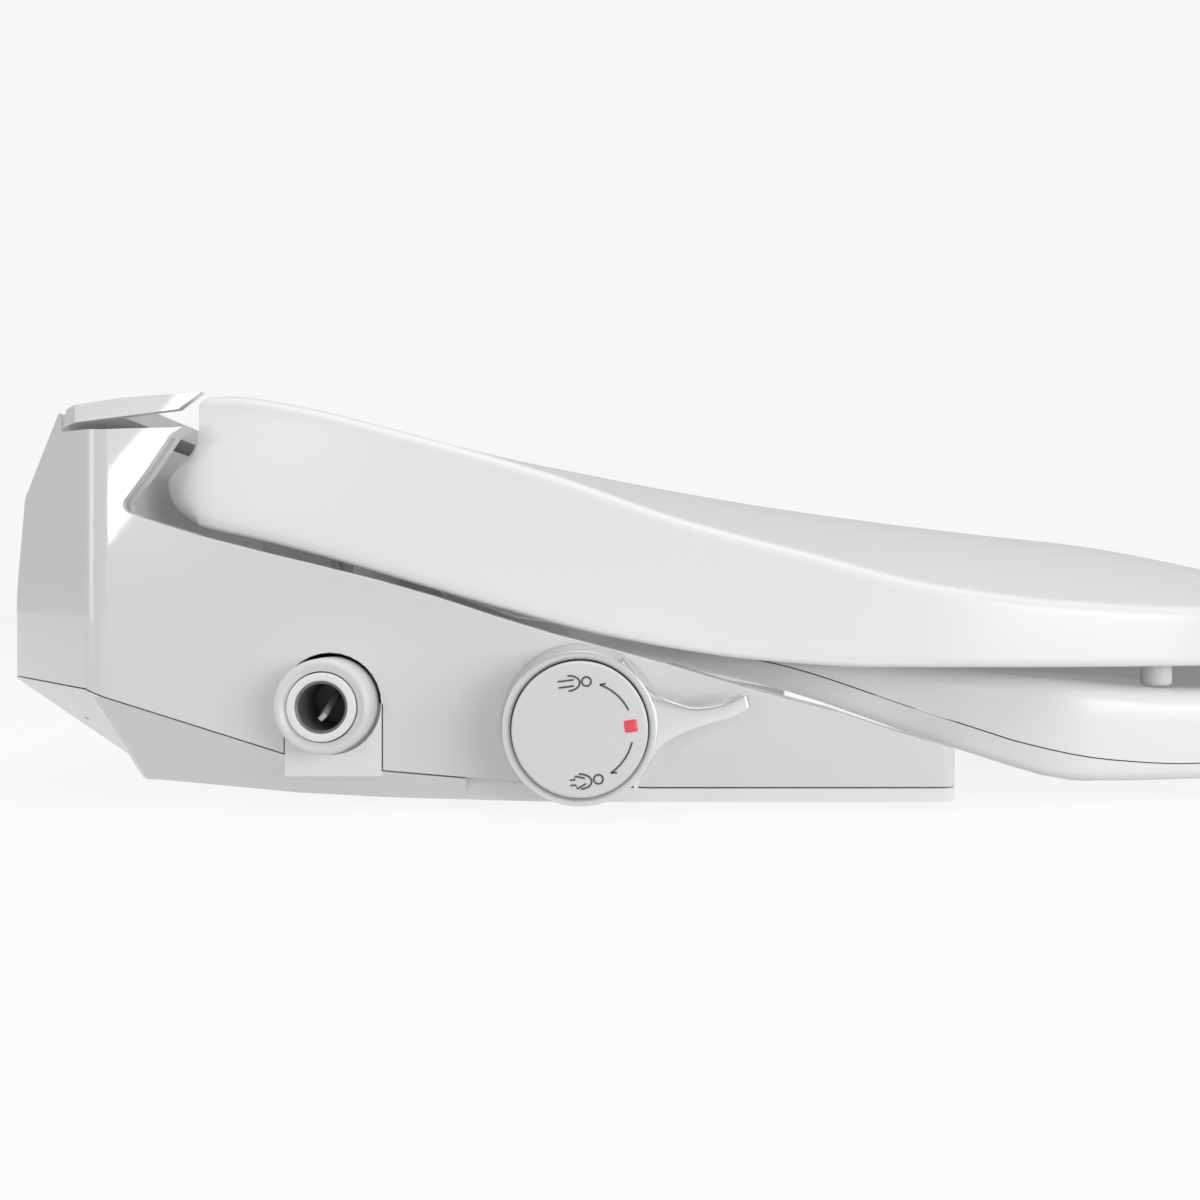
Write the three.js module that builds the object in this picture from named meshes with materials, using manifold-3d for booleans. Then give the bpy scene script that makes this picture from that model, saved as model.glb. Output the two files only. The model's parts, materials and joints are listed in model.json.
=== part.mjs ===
// Bidet seat worked by water pressure, with a turning lever on the user's right.
// Millimetres, +X to the front of the bowl, +Y to the user's left, +Z up.
// The origin lies midway between the two fixing bolts, on the bowl's top face.

import * as THREE from 'three';
import { mergeVertices } from 'three/addons/utils/BufferGeometryUtils.js';
import Module from 'manifold-3d';

const wasm = await Module();
wasm.setup();

// ---------- driving dimensions ----------

const GAP = 0.4;              // between pieces that touch
const RUN = 0.4;              // radial clearance of turning and sliding pieces
const WELD = 1e-3;            // points closer than this are one point

// housing
const HALF_WIDTH = 200;       // centre to the outer face of the control arm
const REAR_X = -76;
const HOUSING_FRONT_X = 88;
const ARM_LENGTH = 154;       // how far an arm reaches past the housing's front
const ARM_WIDTH = 28;
const WALL = 3;
const REAR_CORNER_X = 47;     // plan chamfer at a rear corner, along X
const REAR_CORNER_Y = 50;     // the same, along Y
const REAR_CORNER_R = 12;
const ARM_END_R = 5;
const ARM_ROOT_R = 8;
const CHEEK = 10.5;           // thickness of the cheek beside the lid
const WELL_R = 43;            // hollow that the lid's rear end turns in
const DECK_Z = 50;            // top of the housing under the lid
const DECK_FRONT_Z = 42;
const BASE_FULL_X = 118;      // from here on the base is as wide as the cover
const CHEEK_X = -20.6;        // where the arm's top edge turns up behind the lid
const RIDGE_FRONT_X = -24;    // rear wall of the well
const RIDGE_REAR_X = -46;
const RIDGE_LIP_X = 2;        // foremost point of the ridge's ends
const RIDGE_TOP_Z = 128;
const RIDGE_BOTTOM_Z = 118;

// hinge line shared by the seat and the lid
const HINGE_X = 20;
const HINGE_Z = 95;
const PIN_R = 5;
const BUSH_WALL = 2;
const POST_WIDTH = 14;
const EAR_WIDTH = 12;
const DAMPER_LENGTH = 44;

// lid
const LID_SIDE_GAP = 1.5;      // between the lid's side and the cheek
const LID_HALF_WIDTH = HALF_WIDTH - CHEEK - LID_SIDE_GAP;
const LID_FRONT_X = 460;       // sets the overall length
const LID_WALL = 3.5;
const LID_WIDEST_X = 230;
const LID_REAR_X = -15;
const LID_BULGE = 6;           // the lid's rear is this much narrower on each side
const LID_CORNER_R = 14;
const LID_REST_Z = 43;         // underside of the pads that the lid's bumpers meet
const LID_BUMPER_X = 318;
const LID_BUMPER_R = 5;

// seat
const SEAT_HALF_WIDTH = LID_HALF_WIDTH - 6;
const SEAT_REAR_X = 80;
const SEAT_FRONT_X = LID_FRONT_X - 6;
const OPENING_HALF_WIDTH = SEAT_HALF_WIDTH - 76;
const OPENING_REAR_X = 124;
const OPENING_FRONT_X = SEAT_FRONT_X - 64;
const SEAT_WALL = 3;
const BUMPER_R = 9;

// water side
const INLET_X = 45.6;
const INLET_Z = 30.6;
const INLET_R = 10.48;        // outside of the half-inch pipe thread
const INLET_BORE_R = 8;
const COLLAR_R = INLET_R + 4.22;
const INLET_REACH = 13.5;     // past the arm's face
const INLET_BLOCK = { rear: 14.1, front: 16.1, depth: 22 };
const INLET_DEPTH = 24;       // the fitting's length inside the housing
const STRAINER_THICK = 3;
const REGULATOR_LENGTH = 18;
const REGULATOR_R = 9;
const KNOB_X = 124;
const KNOB_Z = 24.8;
const KNOB_R = 23.2;
const CAP_R = KNOB_R - 3;
const KNOB_REACH = 23;        // cap's face past the arm's face
const RING_DEPTH = 19;        // ring's front edge past the arm's face
const RING_FLOOR = 8;         // bottom of the ring's recess
const RING_BACK = 5;          // depth of the hole for the spindle
const VALVE_R = 14;
const SPINDLE_R = 4;
const VALVE_DEPTH = 17;
const VALVE_WALL = 3;
const DISC_THICK = 3;
const SEAL_THICK = 2;
const HOSE_R = 3;

// nozzles
const NOZZLE_R = 5;
const NOZZLE_LENGTH = 80;
const NOZZLE_SPACING = 2 * NOZZLE_R + 9;
const NOZZLE_TILT = THREE.MathUtils.degToRad(18);
const NOZZLE_TIP_Z = 12;
const GUARD_WIDTH = NOZZLE_SPACING + 27;
const GUARD_TOP_Z = 31;
const GUARD_LOW_Z = 20;
const GUARD_THICK = 2;
const GUARD_PIN_R = 1.2;
const SPRAY_R = 1.6;

// fixing
const BOLT_SPACING = 140;
const BOLT_SLOT_WIDTH = 12;
const BOLT_SLOT_LENGTH = 40;
const BRACKET_THICK = 4;
const BRACKET_REAR_X = -45;
const BRACKET_FRONT_X = 60;
const PAD_THICK = 1.5;
const FLOOR_THICK = 3;
const SCREW_R = 2;
const SCREW_HEAD_R = 4;
const SCREW_TOP_Z = 28;

// ---------- worked-out places ----------

const ARM_FRONT_X = HOUSING_FRONT_X + ARM_LENGTH;
const ARM_INNER_Y = HALF_WIDTH - ARM_WIDTH;
const BRACKET_HALF_Y = BOLT_SPACING / 2 + 27;
const BRACKET_TOP_Z = PAD_THICK + GAP + BRACKET_THICK;
const POST_Y = LID_HALF_WIDTH - 43;    // middle of a hinge post
const EAR_Y = POST_Y - POST_WIDTH / 2 - GAP - EAR_WIDTH / 2;
const LUG_WIDTH = EAR_WIDTH - 2;
const LUG_Y = POST_Y + POST_WIDTH / 2 + GAP + LUG_WIDTH / 2;
const BUSH_R = PIN_R + RUN + BUSH_WALL;
const EAR_R = BUSH_R + GAP + 3;
const COLLAR_RECESS_R = COLLAR_R + 1.3;
const LID_BUMPER_Y = lidHalfWidthAt(LID_BUMPER_X) - LID_WALL - LID_BUMPER_R - 2.8;

// side curves, height over X
const seam = through([[-90, 37], [-32, 35], [-23, 32], [31, 15], [62, 9.7], [105, 6], [145, 4.4], [400, 4.4]]);
const armHeight = smoothThrough([[-40, 95], [-20.6, 91], [4, 83.4], [67.5, 67.4], [112, 53.4], [145.6, 44.6],
  [179, 34.6], [207, 27.2], [242, 16.2], [330, 6]]);
const lidBottom = smoothThrough([[-20, 89.5], [12, 84], [98, 60.2], [129, 52], [155, 47.2], [184, 43.4],
  [218, 41.4], [500, 41]]);
const lidCrest = smoothThrough([[-20, 128], [8, 130], [27, 127.5], [66, 118], [114, 104.3], [155, 90],
  [198, 78.6], [241, 68], [284, 63], [323, 61.2], [500, 60]]);
const lidCrown = smoothThrough([[-20, 130], [10, 132], [110, 120], [205, 105], [318, 91], [411, 83],
  [500, 78]]);
const seatTop = smoothThrough([[60, 70], [80, 67], [120, 60], [189, 49], [239, 42], [298, 35.5], [325, 33.5],
  [500, 33]]);
const seatSeam = smoothThrough([[60, 63], [80, 60], [120, 53], [189, 41.5], [239, 25.6], [272, 15.3],
  [297, 10.8], [325, 9], [500, 9]]);
const seatBottom = smoothThrough([[60, 56], [80, 53], [120, 46], [189, 33], [239, 16.5], [266, 8],
  [282, 4.2], [300, 3.5], [500, 3.5]]);

// ---------- materials ----------

const plastic = (color, roughness = 0.25) => new THREE.MeshStandardMaterial({ color, roughness, metalness: 0 });
const metal = (color, roughness = 0.3) => new THREE.MeshStandardMaterial({ color, roughness, metalness: 1 });
const WHITE = plastic(0xf2f2f2);
const GREY_WHITE = plastic(0xe4e5e6, 0.35);
const INNER = plastic(0xd8d8d6, 0.5);
const CLEAR_GREY = plastic(0xb9bec2, 0.4);
const RUBBER = plastic(0xc9c9c9, 0.8);
const BLACK_RUBBER = plastic(0x222222, 0.8);
const SILVER = metal(0xc4c4c6, 0.3);
const STEEL = metal(0xa9abad, 0.25);
const RED = plastic(0xff4a60, 0.4);

// ---------- helpers ----------

// Straight lines through a few points, as a function of X.
function through(points) {
  return (x) => {
    let i = 0;
    while (i < points.length - 2 && x > points[i + 1][0]) i += 1;
    const [x0, z0] = points[i];
    const [x1, z1] = points[i + 1];
    return THREE.MathUtils.lerp(z0, z1, THREE.MathUtils.clamp((x - x0) / (x1 - x0), 0, 1));
  };
}

// A smooth line through a few points, as a function of X: cubic pieces that never overshoot a point.
function smoothThrough(points) {
  const rise = points.slice(1).map(([x, z], i) => (z - points[i][1]) / (x - points[i][0]));
  const slope = points.map((_, i) => {
    const [before, after] = [rise[i - 1] ?? 0, rise[i] ?? 0];
    return before * after > 0 ? (2 * before * after) / (before + after) : 0;
  });
  return (x) => {
    let i = 0;
    while (i < points.length - 2 && x > points[i + 1][0]) i += 1;
    const [x0, z0] = points[i];
    const [x1, z1] = points[i + 1];
    const width = x1 - x0;
    const t = THREE.MathUtils.clamp((x - x0) / width, 0, 1);
    const s = 1 - t;
    const bend = width * t * s * (slope[i] * s - slope[i + 1] * t);
    return z0 * s * s * (1 + 2 * t) + z1 * t * t * (3 - 2 * t) + bend;
  };
}

// An outline with its corners rounded: each point is [a, b] or [a, b, radius].
function rounded(points, steps = 5) {
  const result = [];
  points.forEach(([a, b, radius = 0], i) => {
    const corner = new THREE.Vector2(a, b);
    const [pa, pb] = points[(i + points.length - 1) % points.length];
    const [na, nb] = points[(i + 1) % points.length];
    const back = new THREE.Vector2(pa, pb).sub(corner).normalize();
    const ahead = new THREE.Vector2(na, nb).sub(corner).normalize();
    if (radius <= 0) {
      result.push([a, b]);
      return;
    }
    const half = Math.acos(THREE.MathUtils.clamp(back.dot(ahead), -1, 1)) / 2;
    const centre = back.clone().add(ahead).setLength(radius / Math.sin(half)).add(corner);
    const start = back.clone().multiplyScalar(radius / Math.tan(half)).add(corner).sub(centre);
    const end = ahead.clone().multiplyScalar(radius / Math.tan(half)).add(corner).sub(centre);
    const sweep = Math.atan2(start.cross(end), start.dot(end));
    for (let k = 0; k <= steps; k += 1) {
      const arm = start.clone().rotateAround(new THREE.Vector2(), (sweep * k) / steps).add(centre);
      result.push([arm.x, arm.y]);
    }
  });
  return result;
}

// A geometry with its shared points merged, and without the triangles that this closes up.
function welded(geometry) {
  const bare = new THREE.BufferGeometry();
  bare.setAttribute('position', geometry.getAttribute('position'));
  if (geometry.index) bare.setIndex(geometry.index);
  const merged = mergeVertices(bare, WELD);
  const index = merged.index.array;
  const triangles = [];
  for (let i = 0; i < index.length; i += 3) {
    const [a, b, c] = [index[i], index[i + 1], index[i + 2]];
    if (a !== b && b !== c && c !== a) triangles.push(a, b, c);
  }
  merged.setIndex(triangles);
  return merged;
}

// A closed geometry as a solid that can be joined and cut.
function solid(geometry) {
  const merged = welded(geometry);
  return new wasm.Manifold(new wasm.Mesh({
    numProp: 3,
    vertProperties: new Float32Array(merged.getAttribute('position').array),
    triVerts: new Uint32Array(merged.index.array),
  }));
}

function geometryOf(body) {
  const mesh = body.getMesh();
  const geometry = new THREE.BufferGeometry();
  geometry.setAttribute('position', new THREE.BufferAttribute(mesh.vertProperties, 3));
  geometry.setIndex(new THREE.BufferAttribute(mesh.triVerts, 1));
  return welded(geometry);
}

function outline(points) {
  return new THREE.Shape(points.map(([a, b]) => new THREE.Vector2(a, b)));
}

function extruded(points, depth) {
  return new THREE.ExtrudeGeometry(outline(points), { depth, bevelEnabled: false });
}

// An outline of [x, z] points carried along Y from y0 to y1.
function prismY(points, y0, y1) {
  return solid(extruded(points, y1 - y0).rotateX(Math.PI / 2).translate(0, y1, 0));
}

// An outline of [x, y] points carried up from z0 to z1.
function prismZ(points, z0, z1) {
  return solid(extruded(points, z1 - z0).translate(0, 0, z0));
}

function box(x0, x1, y0, y1, z0, z1) {
  const geometry = new THREE.BoxGeometry(x1 - x0, y1 - y0, z1 - z0);
  return solid(geometry.translate((x0 + x1) / 2, (y0 + y1) / 2, (z0 + z1) / 2));
}

function rodY(radius, y0, y1, x, z, sides = 24) {
  return solid(new THREE.CylinderGeometry(radius, radius, y1 - y0, sides).translate(x, (y0 + y1) / 2, z));
}

function rodZ(radius, z0, z1, x, y, sides = 20) {
  const geometry = new THREE.CylinderGeometry(radius, radius, z1 - z0, sides).rotateX(Math.PI / 2);
  return solid(geometry.translate(x, y, (z0 + z1) / 2));
}

function rodX(radius, x0, x1, y, z, sides = 20) {
  const geometry = new THREE.CylinderGeometry(radius, radius, x1 - x0, sides).rotateZ(Math.PI / 2);
  return solid(geometry.translate((x0 + x1) / 2, y, z));
}

// A piece turned about the Y axis: [radius, y] points from the axis round to the axis.
function turnedY(profile, x, z, sides = 40) {
  const points = profile.map(([radius, y]) => new THREE.Vector2(radius, y));
  return solid(new THREE.LatheGeometry(points, sides).translate(x, 0, z));
}

function hose(points, radius = HOSE_R) {
  const path = new THREE.CatmullRomCurve3(points.map((p) => new THREE.Vector3(...p)), false, 'centripetal');
  const section = new THREE.Shape().absarc(0, 0, radius, 0, 2 * Math.PI);
  const steps = Math.min(60, Math.ceil(path.getLength() / (5 * radius)));
  return solid(new THREE.ExtrudeGeometry(section, { steps, curveSegments: 5, extrudePath: path }));
}

// Rings with the same number of points, joined one to the next; the last joins the first if wrapped.
function ringStack(rings, wrapped = false) {
  const count = rings[0].length;
  const geometry = new THREE.BufferGeometry();
  geometry.setAttribute('position', new THREE.Float32BufferAttribute(rings.flat(2), 3));
  const index = [];
  const bands = wrapped ? rings.length : rings.length - 1;
  for (let r = 0; r < bands; r += 1) {
    const next = (r + 1) % rings.length;
    for (let i = 0; i < count; i += 1) {
      const j = (i + 1) % count;
      const [a, b, c, d] = [r * count + i, r * count + j, next * count + j, next * count + i];
      index.push(a, b, c, a, c, d);
    }
  }
  geometry.setIndex(index);
  return solid(geometry);
}

const root = new THREE.Group();
function piece(name, body, material, group = root) {
  const mesh = new THREE.Mesh(geometryOf(body), material);
  mesh.name = name;
  group.add(mesh);
}

const SIDES = [['right', -1], ['left', 1]];
const mirrored = (side, low, high) => (side > 0 ? [low, high] : [-high, -low]);

// ---------- housing ----------

// Plan of the housing and both arms, drawn in by an inset.
function housingPlan(inset) {
  const w = HALF_WIDTH - inset;
  const rearR = REAR_CORNER_R - inset;
  const endR = ARM_END_R - inset;
  const half = [
    [REAR_X + inset, w - REAR_CORNER_Y, rearR], [REAR_X + REAR_CORNER_X + inset * 0.4, w, rearR],
    [ARM_FRONT_X - inset, w, endR], [ARM_FRONT_X - inset, ARM_INNER_Y + inset, endR],
    [HOUSING_FRONT_X - inset, ARM_INNER_Y + inset, ARM_ROOT_R + inset],
  ];
  return rounded([...half.map(([x, y, r]) => [x, -y, r]), ...half.reverse()]);
}

// Side outline of the cover. Drawn in by an inset, it runs out below the seam, so that what it cuts is open.
function sideOutline(inset) {
  const beyond = ARM_FRONT_X + 60;
  const below = inset > 0 ? 2 : 0;
  const bottom = [-90, -32, -23, 31, 62, 105, 145, beyond].map((x) => [x, seam(x) + GAP / 2 - below]);
  const armTop = [[beyond, 12], [ARM_FRONT_X, armHeight(ARM_FRONT_X)]];
  for (let k = 1; k <= 14; k += 1) {
    const x = THREE.MathUtils.lerp(ARM_FRONT_X, CHEEK_X + 8, k / 14);
    armTop.push([x, armHeight(x)]);
  }
  const cheek = [[CHEEK_X, armHeight(CHEEK_X) + 0.6, 2.5], [-12, 103.2], [-4.2, 114.8], [0, 117.4]];
  const ridge = [[RIDGE_REAR_X + 20, 116.5], [RIDGE_REAR_X, RIDGE_BOTTOM_Z]];
  const rear = [...ridge, [RIDGE_REAR_X - 1.5, RIDGE_BOTTOM_Z + 6.6], [-68.6, 98.3]];
  const top = [...armTop, ...cheek, ...rear].map(([x, z, r]) => [x, z - inset, r]);
  return rounded([...bottom, ...top, [REAR_X - 1 + inset, 49]], 3);
}

function wellOutline(radius) {
  const points = [[RIDGE_FRONT_X + 1, 200]];
  for (let a = 180; a <= 270; a += 15) {
    const t = THREE.MathUtils.degToRad(a);
    points.push([HINGE_X + radius * Math.cos(t), HINGE_Z + radius * Math.sin(t)]);
  }
  return [...points, [HOUSING_FRONT_X - 20, HINGE_Z - radius - 3], [HOUSING_FRONT_X + 1, DECK_FRONT_Z],
    [400, DECK_FRONT_Z], [400, 200]];
}

function coverBody(inset) {
  const plan = prismZ(housingPlan(inset), 0, 200);
  return prismY(sideOutline(inset), -HALF_WIDTH - 1, HALF_WIDTH + 1).intersect(plan);
}

function buildCover() {
  const cheekY = HALF_WIDTH - CHEEK;
  const lowered = wellOutline(WELL_R);
  const hollow = coverBody(WALL).subtract(prismY(wellOutline(WELL_R + WALL), -cheekY - WALL, cheekY + WALL));
  let cover = coverBody(0)
    .subtract(prismY(lowered, -cheekY, cheekY))
    .subtract(hollow);
  for (const [, side] of SIDES) {
    const [y0, y1] = mirrored(side, POST_Y - POST_WIDTH / 2, POST_Y + POST_WIDTH / 2);
    const foot = [[HINGE_X - 6, DECK_Z - 1], [HINGE_X - 9, HINGE_Z], [HINGE_X + 9, HINGE_Z],
      [HINGE_X + 26, DECK_Z - 2]];
    const post = prismY(foot, y0, y1)
      .add(rodY(PIN_R + 5, y0, y1, HINGE_X, HINGE_Z))
      .subtract(rodY(PIN_R + GAP, y0 - 1, y1 + 1, HINGE_X, HINGE_Z));
    cover = cover.add(post);
  }
  const [outside, inside] = [-HALF_WIDTH - 1, -HALF_WIDTH + WALL + 1];
  const [notchRear, notchFront] = [INLET_BLOCK.rear + GAP, INLET_BLOCK.front + GAP];
  const inletNotch = box(INLET_X - notchRear, INLET_X + notchFront, outside, inside, -5, INLET_Z)
    .add(rodY(COLLAR_RECESS_R, outside, inside, INLET_X, INLET_Z, 32));
  const spindleHole = rodY(SPINDLE_R + 2, outside, inside, KNOB_X, KNOB_Z);
  const windowY = GUARD_WIDTH / 2;
  const nozzleWindow = box(HOUSING_FRONT_X - WALL - 2, HOUSING_FRONT_X + 1, -windowY, windowY, -5, 24);
  return cover.subtract(inletNotch).subtract(spindleHole).subtract(nozzleWindow);
}

// The ridge behind the lid. Each end reaches forward beside the lid's rear corner, clear of the turning lid.
function buildRidge() {
  const endY = HALF_WIDTH - CHEEK - GAP;
  const rear = RIDGE_REAR_X + GAP;
  const low = RIDGE_BOTTOM_Z + 1.2;
  const top = [[RIDGE_FRONT_X, RIDGE_TOP_Z], [rear + 2, RIDGE_TOP_Z - 3]];
  let ridge = prismY([[rear, low], [RIDGE_FRONT_X, low + 3], ...top], -endY, endY);
  for (const [, side] of SIDES) {
    const end = [[rear, low], [RIDGE_LIP_X - 7.4, RIDGE_TOP_Z - 3.6], [RIDGE_LIP_X, RIDGE_TOP_Z + 2], ...top];
    ridge = ridge.add(prismY(end, ...mirrored(side, LID_HALF_WIDTH - LID_BULGE + 3.4, endY)));
  }
  return ridge.intersect(prismZ(housingPlan(GAP), 100, 200));
}

// The base tray: narrower at the bowl than at the seam, more so towards the rear.
function baseTaper(x) {
  return through([[-76, 62], [-22, 49], [13, 27], [50, 12], [82, 6], [BASE_FULL_X, 0], [400, 0]])(x);
}

function baseTray(inset, floorZ) {
  const stations = [REAR_X + inset, -60, -32, REAR_X + REAR_CORNER_X, -23, 31, 62, HOUSING_FRONT_X - inset];
  const planY = (x) => Math.min(HALF_WIDTH, HALF_WIDTH - REAR_CORNER_Y
    + REAR_CORNER_Y * (x - REAR_X) / REAR_CORNER_X) - inset;
  const frontX = HOUSING_FRONT_X - inset;
  const loop = (yOf, zOf, draw) => {
    const half = stations.map((x) => [THREE.MathUtils.lerp(x, frontX, x < -50 ? draw : 0), yOf(x), zOf(x)]);
    return [...half.map(([x, y, z]) => [x, -y, z]), ...half.reverse()];
  };
  const low = loop((x) => planY(x) - baseTaper(x), () => floorZ, 0.12);
  const rise = inset > 0 ? 2 : 0;
  const high = loop(planY, (x) => seam(x) - GAP / 2 + rise, 0);
  const flat = (ring) => ring.map(([x, , z]) => [x, 0, z]);
  return ringStack([flat(low), low, high, flat(high)]);
}

function armFloor(side, inset, z0, z1) {
  const w = HALF_WIDTH - inset;
  const inner = ARM_INNER_Y + inset;
  const endR = ARM_END_R - inset;
  const rootX = HOUSING_FRONT_X - 2 - inset;
  const points = rounded([[rootX, inner], [ARM_FRONT_X - inset, inner, endR], [ARM_FRONT_X - inset, w, endR],
    [BASE_FULL_X, w], [rootX, w - 5]]);
  return prismZ(side > 0 ? points : points.map(([x, y]) => [x, -y]).reverse(), z0, z1);
}

function buildBase() {
  const openY = HALF_WIDTH - REAR_CORNER_Y - 10;
  const inside = baseTray(WALL, FLOOR_THICK)
    .add(box(REAR_X + 20, HOUSING_FRONT_X - WALL, -openY, openY, 20, 60));
  let base = baseTray(0, 0).intersect(prismZ(housingPlan(0), -1, 100)).subtract(inside);
  const rootX = HOUSING_FRONT_X - 4;
  const underSeam = [400, 145, 105, rootX].map((x) => [x, seam(x) - GAP / 2]);
  const under = prismY([[rootX, -1], [400, -1], ...underSeam], -HALF_WIDTH - 1, HALF_WIDTH + 1);
  for (const [, side] of SIDES) {
    base = base.add(armFloor(side, 0, 0, 20).intersect(under).subtract(armFloor(side, WALL, FLOOR_THICK, 20)));
  }
  const [pocketRear, pocketFront] = [BRACKET_REAR_X - 2, BRACKET_FRONT_X + 2];
  const pocketY = BRACKET_HALF_Y + 2;
  const roofZ = BRACKET_TOP_Z + GAP;
  const pocket = (wall, z0, z1) => box(pocketRear - wall, pocketFront + wall, -pocketY - wall, pocketY + wall,
    z0, z1);
  const skinBack = -HALF_WIDTH + WALL + GAP;
  const blockBack = -HALF_WIDTH + INLET_BLOCK.depth;
  const [blockRear, blockFront] = [INLET_X - INLET_BLOCK.rear, INLET_X + INLET_BLOCK.front];
  const inletBlock = box(blockRear, blockFront, -HALF_WIDTH + 0.05, blockBack, 8, INLET_Z)
    .add(rodY(COLLAR_R, skinBack, blockBack, INLET_X, INLET_Z, 32))
    .subtract(rodY(COLLAR_RECESS_R, -HALF_WIDTH - 1, skinBack, INLET_X, INLET_Z, 32));
  const windowY = GUARD_WIDTH / 2;
  return base
    .add(pocket(WALL, 0, roofZ + FLOOR_THICK))
    .subtract(pocket(0, -1, roofZ))
    .add(inletBlock)
    .subtract(rodY(INLET_R + GAP, -HALF_WIDTH - 1, blockBack + 1, INLET_X, INLET_Z, 32))
    .subtract(box(HOUSING_FRONT_X - WALL - 2, HOUSING_FRONT_X + 1, -windowY, windowY, FLOOR_THICK, 40))
    .subtract(buttonSpace());
}

// ---------- release button in the base's left side ----------

const BUTTON = { x: 66, z: 5.6, length: 18, height: 4.4, reach: 3 };

function buttonSpace() {
  const { x, z, length, height } = BUTTON;
  const [halfX, halfZ] = [length / 2 + GAP, height / 2 + GAP];
  return box(x - halfX, x + halfX, HALF_WIDTH - 24, HALF_WIDTH + 2, z - halfZ, z + halfZ);
}

function buildReleaseButton() {
  const { x, z, length, height, reach } = BUTTON;
  const face = HALF_WIDTH - baseTaper(x) + reach;
  return box(x - length / 2, x + length / 2, face - 12, face, z - height / 2, z + height / 2);
}

// ---------- lid ----------

// Half the lid's width at a place forward of its widest: the plan's superellipse, solved for y.
function lidHalfWidthAt(x) {
  const share = (x - LID_WIDEST_X) / (LID_FRONT_X - LID_WIDEST_X);
  const t = Math.asin(share ** (2.3 / 2));
  return LID_HALF_WIDTH * Math.cos(t) ** (2 / 2.2);
}

// Plan outline of the lid as [x, y] pairs, starting at the middle of the rear edge.
function lidPlan(rearX, inset) {
  const w = LID_HALF_WIDTH - inset;
  const front = LID_FRONT_X - inset;
  const rearY = w - LID_BULGE;
  const cornerY = rearY - LID_CORNER_R;
  const half = [[rearX, 0], [rearX, 60], [rearX, 120], [rearX, cornerY]];
  for (const a of [30, 60, 90]) {
    const t = THREE.MathUtils.degToRad(a);
    half.push([rearX + LID_CORNER_R * (1 - Math.cos(t)), cornerY + LID_CORNER_R * Math.sin(t)]);
  }
  for (const x of [45, 90, 135, 180, LID_WIDEST_X]) {
    half.push([x, w - LID_BULGE * ((LID_WIDEST_X - x) / LID_WIDEST_X) ** 2]);
  }
  const steps = 11;
  for (let i = 1; i <= steps; i += 1) {
    const t = (Math.PI / 2) * (i / steps);
    const x = LID_WIDEST_X + (front - LID_WIDEST_X) * Math.sin(t) ** (2 / 2.3);
    half.push([x, i === steps ? 0 : w * Math.cos(t) ** (2 / 2.2)]);
  }
  return [...half.map(([x, y]) => [x, -y]), ...half.slice(1, -1).reverse()];
}

function lidForm(inset, floorDrop) {
  const ring = (rearX, inward, zOf) => lidPlan(rearX + inset + inward, inset + inward)
    .map(([x, y]) => [x, y, zOf(x)]);
  const dome = (share) => ring(LID_REAR_X + 21, 6, () => 0).map(([x, y]) => {
    const middle = THREE.MathUtils.clamp(x, 30, LID_FRONT_X - 130);
    const px = THREE.MathUtils.lerp(x, middle, share);
    const rise = Math.sin(share * Math.PI / 2);
    return [px, y * (1 - share), THREE.MathUtils.lerp(lidCrest(x), lidCrown(px), rise) - inset];
  });
  const skirt = (share, rearBy) => ring(LID_REAR_X + rearBy, 0,
    (x) => THREE.MathUtils.lerp(lidBottom(x), lidCrest(x) - inset, share));
  const bottom = ring(LID_REAR_X + 12, 0, (x) => lidBottom(x) - floorDrop);
  return ringStack([
    bottom.map(([x, , z]) => [x, 0, z]),
    bottom,
    skirt(0.06, 5.5),
    skirt(0.17, 1.7),
    skirt(0.32, 0),
    skirt(0.6, 9.5),
    skirt(0.9, 18),
    ring(LID_REAR_X + 20, 2, (x) => lidCrest(x) - 1 - inset),
    dome(0), dome(0.2), dome(0.45), dome(0.72), dome(1),
  ]);
}

function buildLid() {
  const outer = lidForm(0, 0);
  const notchY = LUG_Y + LUG_WIDTH / 2 + 5;
  let lid = outer.subtract(lidForm(LID_WALL, 1))
    .subtract(box(LID_REAR_X - 10, HINGE_X - 15, -notchY, notchY, 60, HINGE_Z + 17));
  for (const [, side] of SIDES) {
    const [y0, y1] = mirrored(side, LUG_Y - LUG_WIDTH / 2, LUG_Y + LUG_WIDTH / 2);
    const sides = [[HINGE_X - EAR_R, HINGE_Z], [HINGE_X + EAR_R, HINGE_Z], [HINGE_X + 16, 140],
      [HINGE_X - 14, 140]];
    const lug = prismY(sides, y0, y1)
      .add(rodY(EAR_R, y0, y1, HINGE_X, HINGE_Z))
      .intersect(lidForm(LID_WALL / 2, 1));
    const restTop = LID_REST_Z + 6;
    const web = mirrored(side, LID_BUMPER_Y, LID_HALF_WIDTH);
    const rest = rodZ(LID_BUMPER_R + 3, LID_REST_Z, restTop, LID_BUMPER_X, side * LID_BUMPER_Y)
      .add(box(LID_BUMPER_X - 6, LID_BUMPER_X + 6, ...web, LID_REST_Z, restTop))
      .intersect(lidForm(LID_WALL / 2, 1));
    lid = lid.add(lug).add(rest).subtract(rodY(BUSH_R + GAP, y0 - 1, y1 + 1, HINGE_X, HINGE_Z));
  }
  return lid;
}

// ---------- seat ----------

function seatNarrowing(x) {
  return 1 - 0.1 * THREE.MathUtils.smoothstep(290 - x, 0, 65);
}

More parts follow.
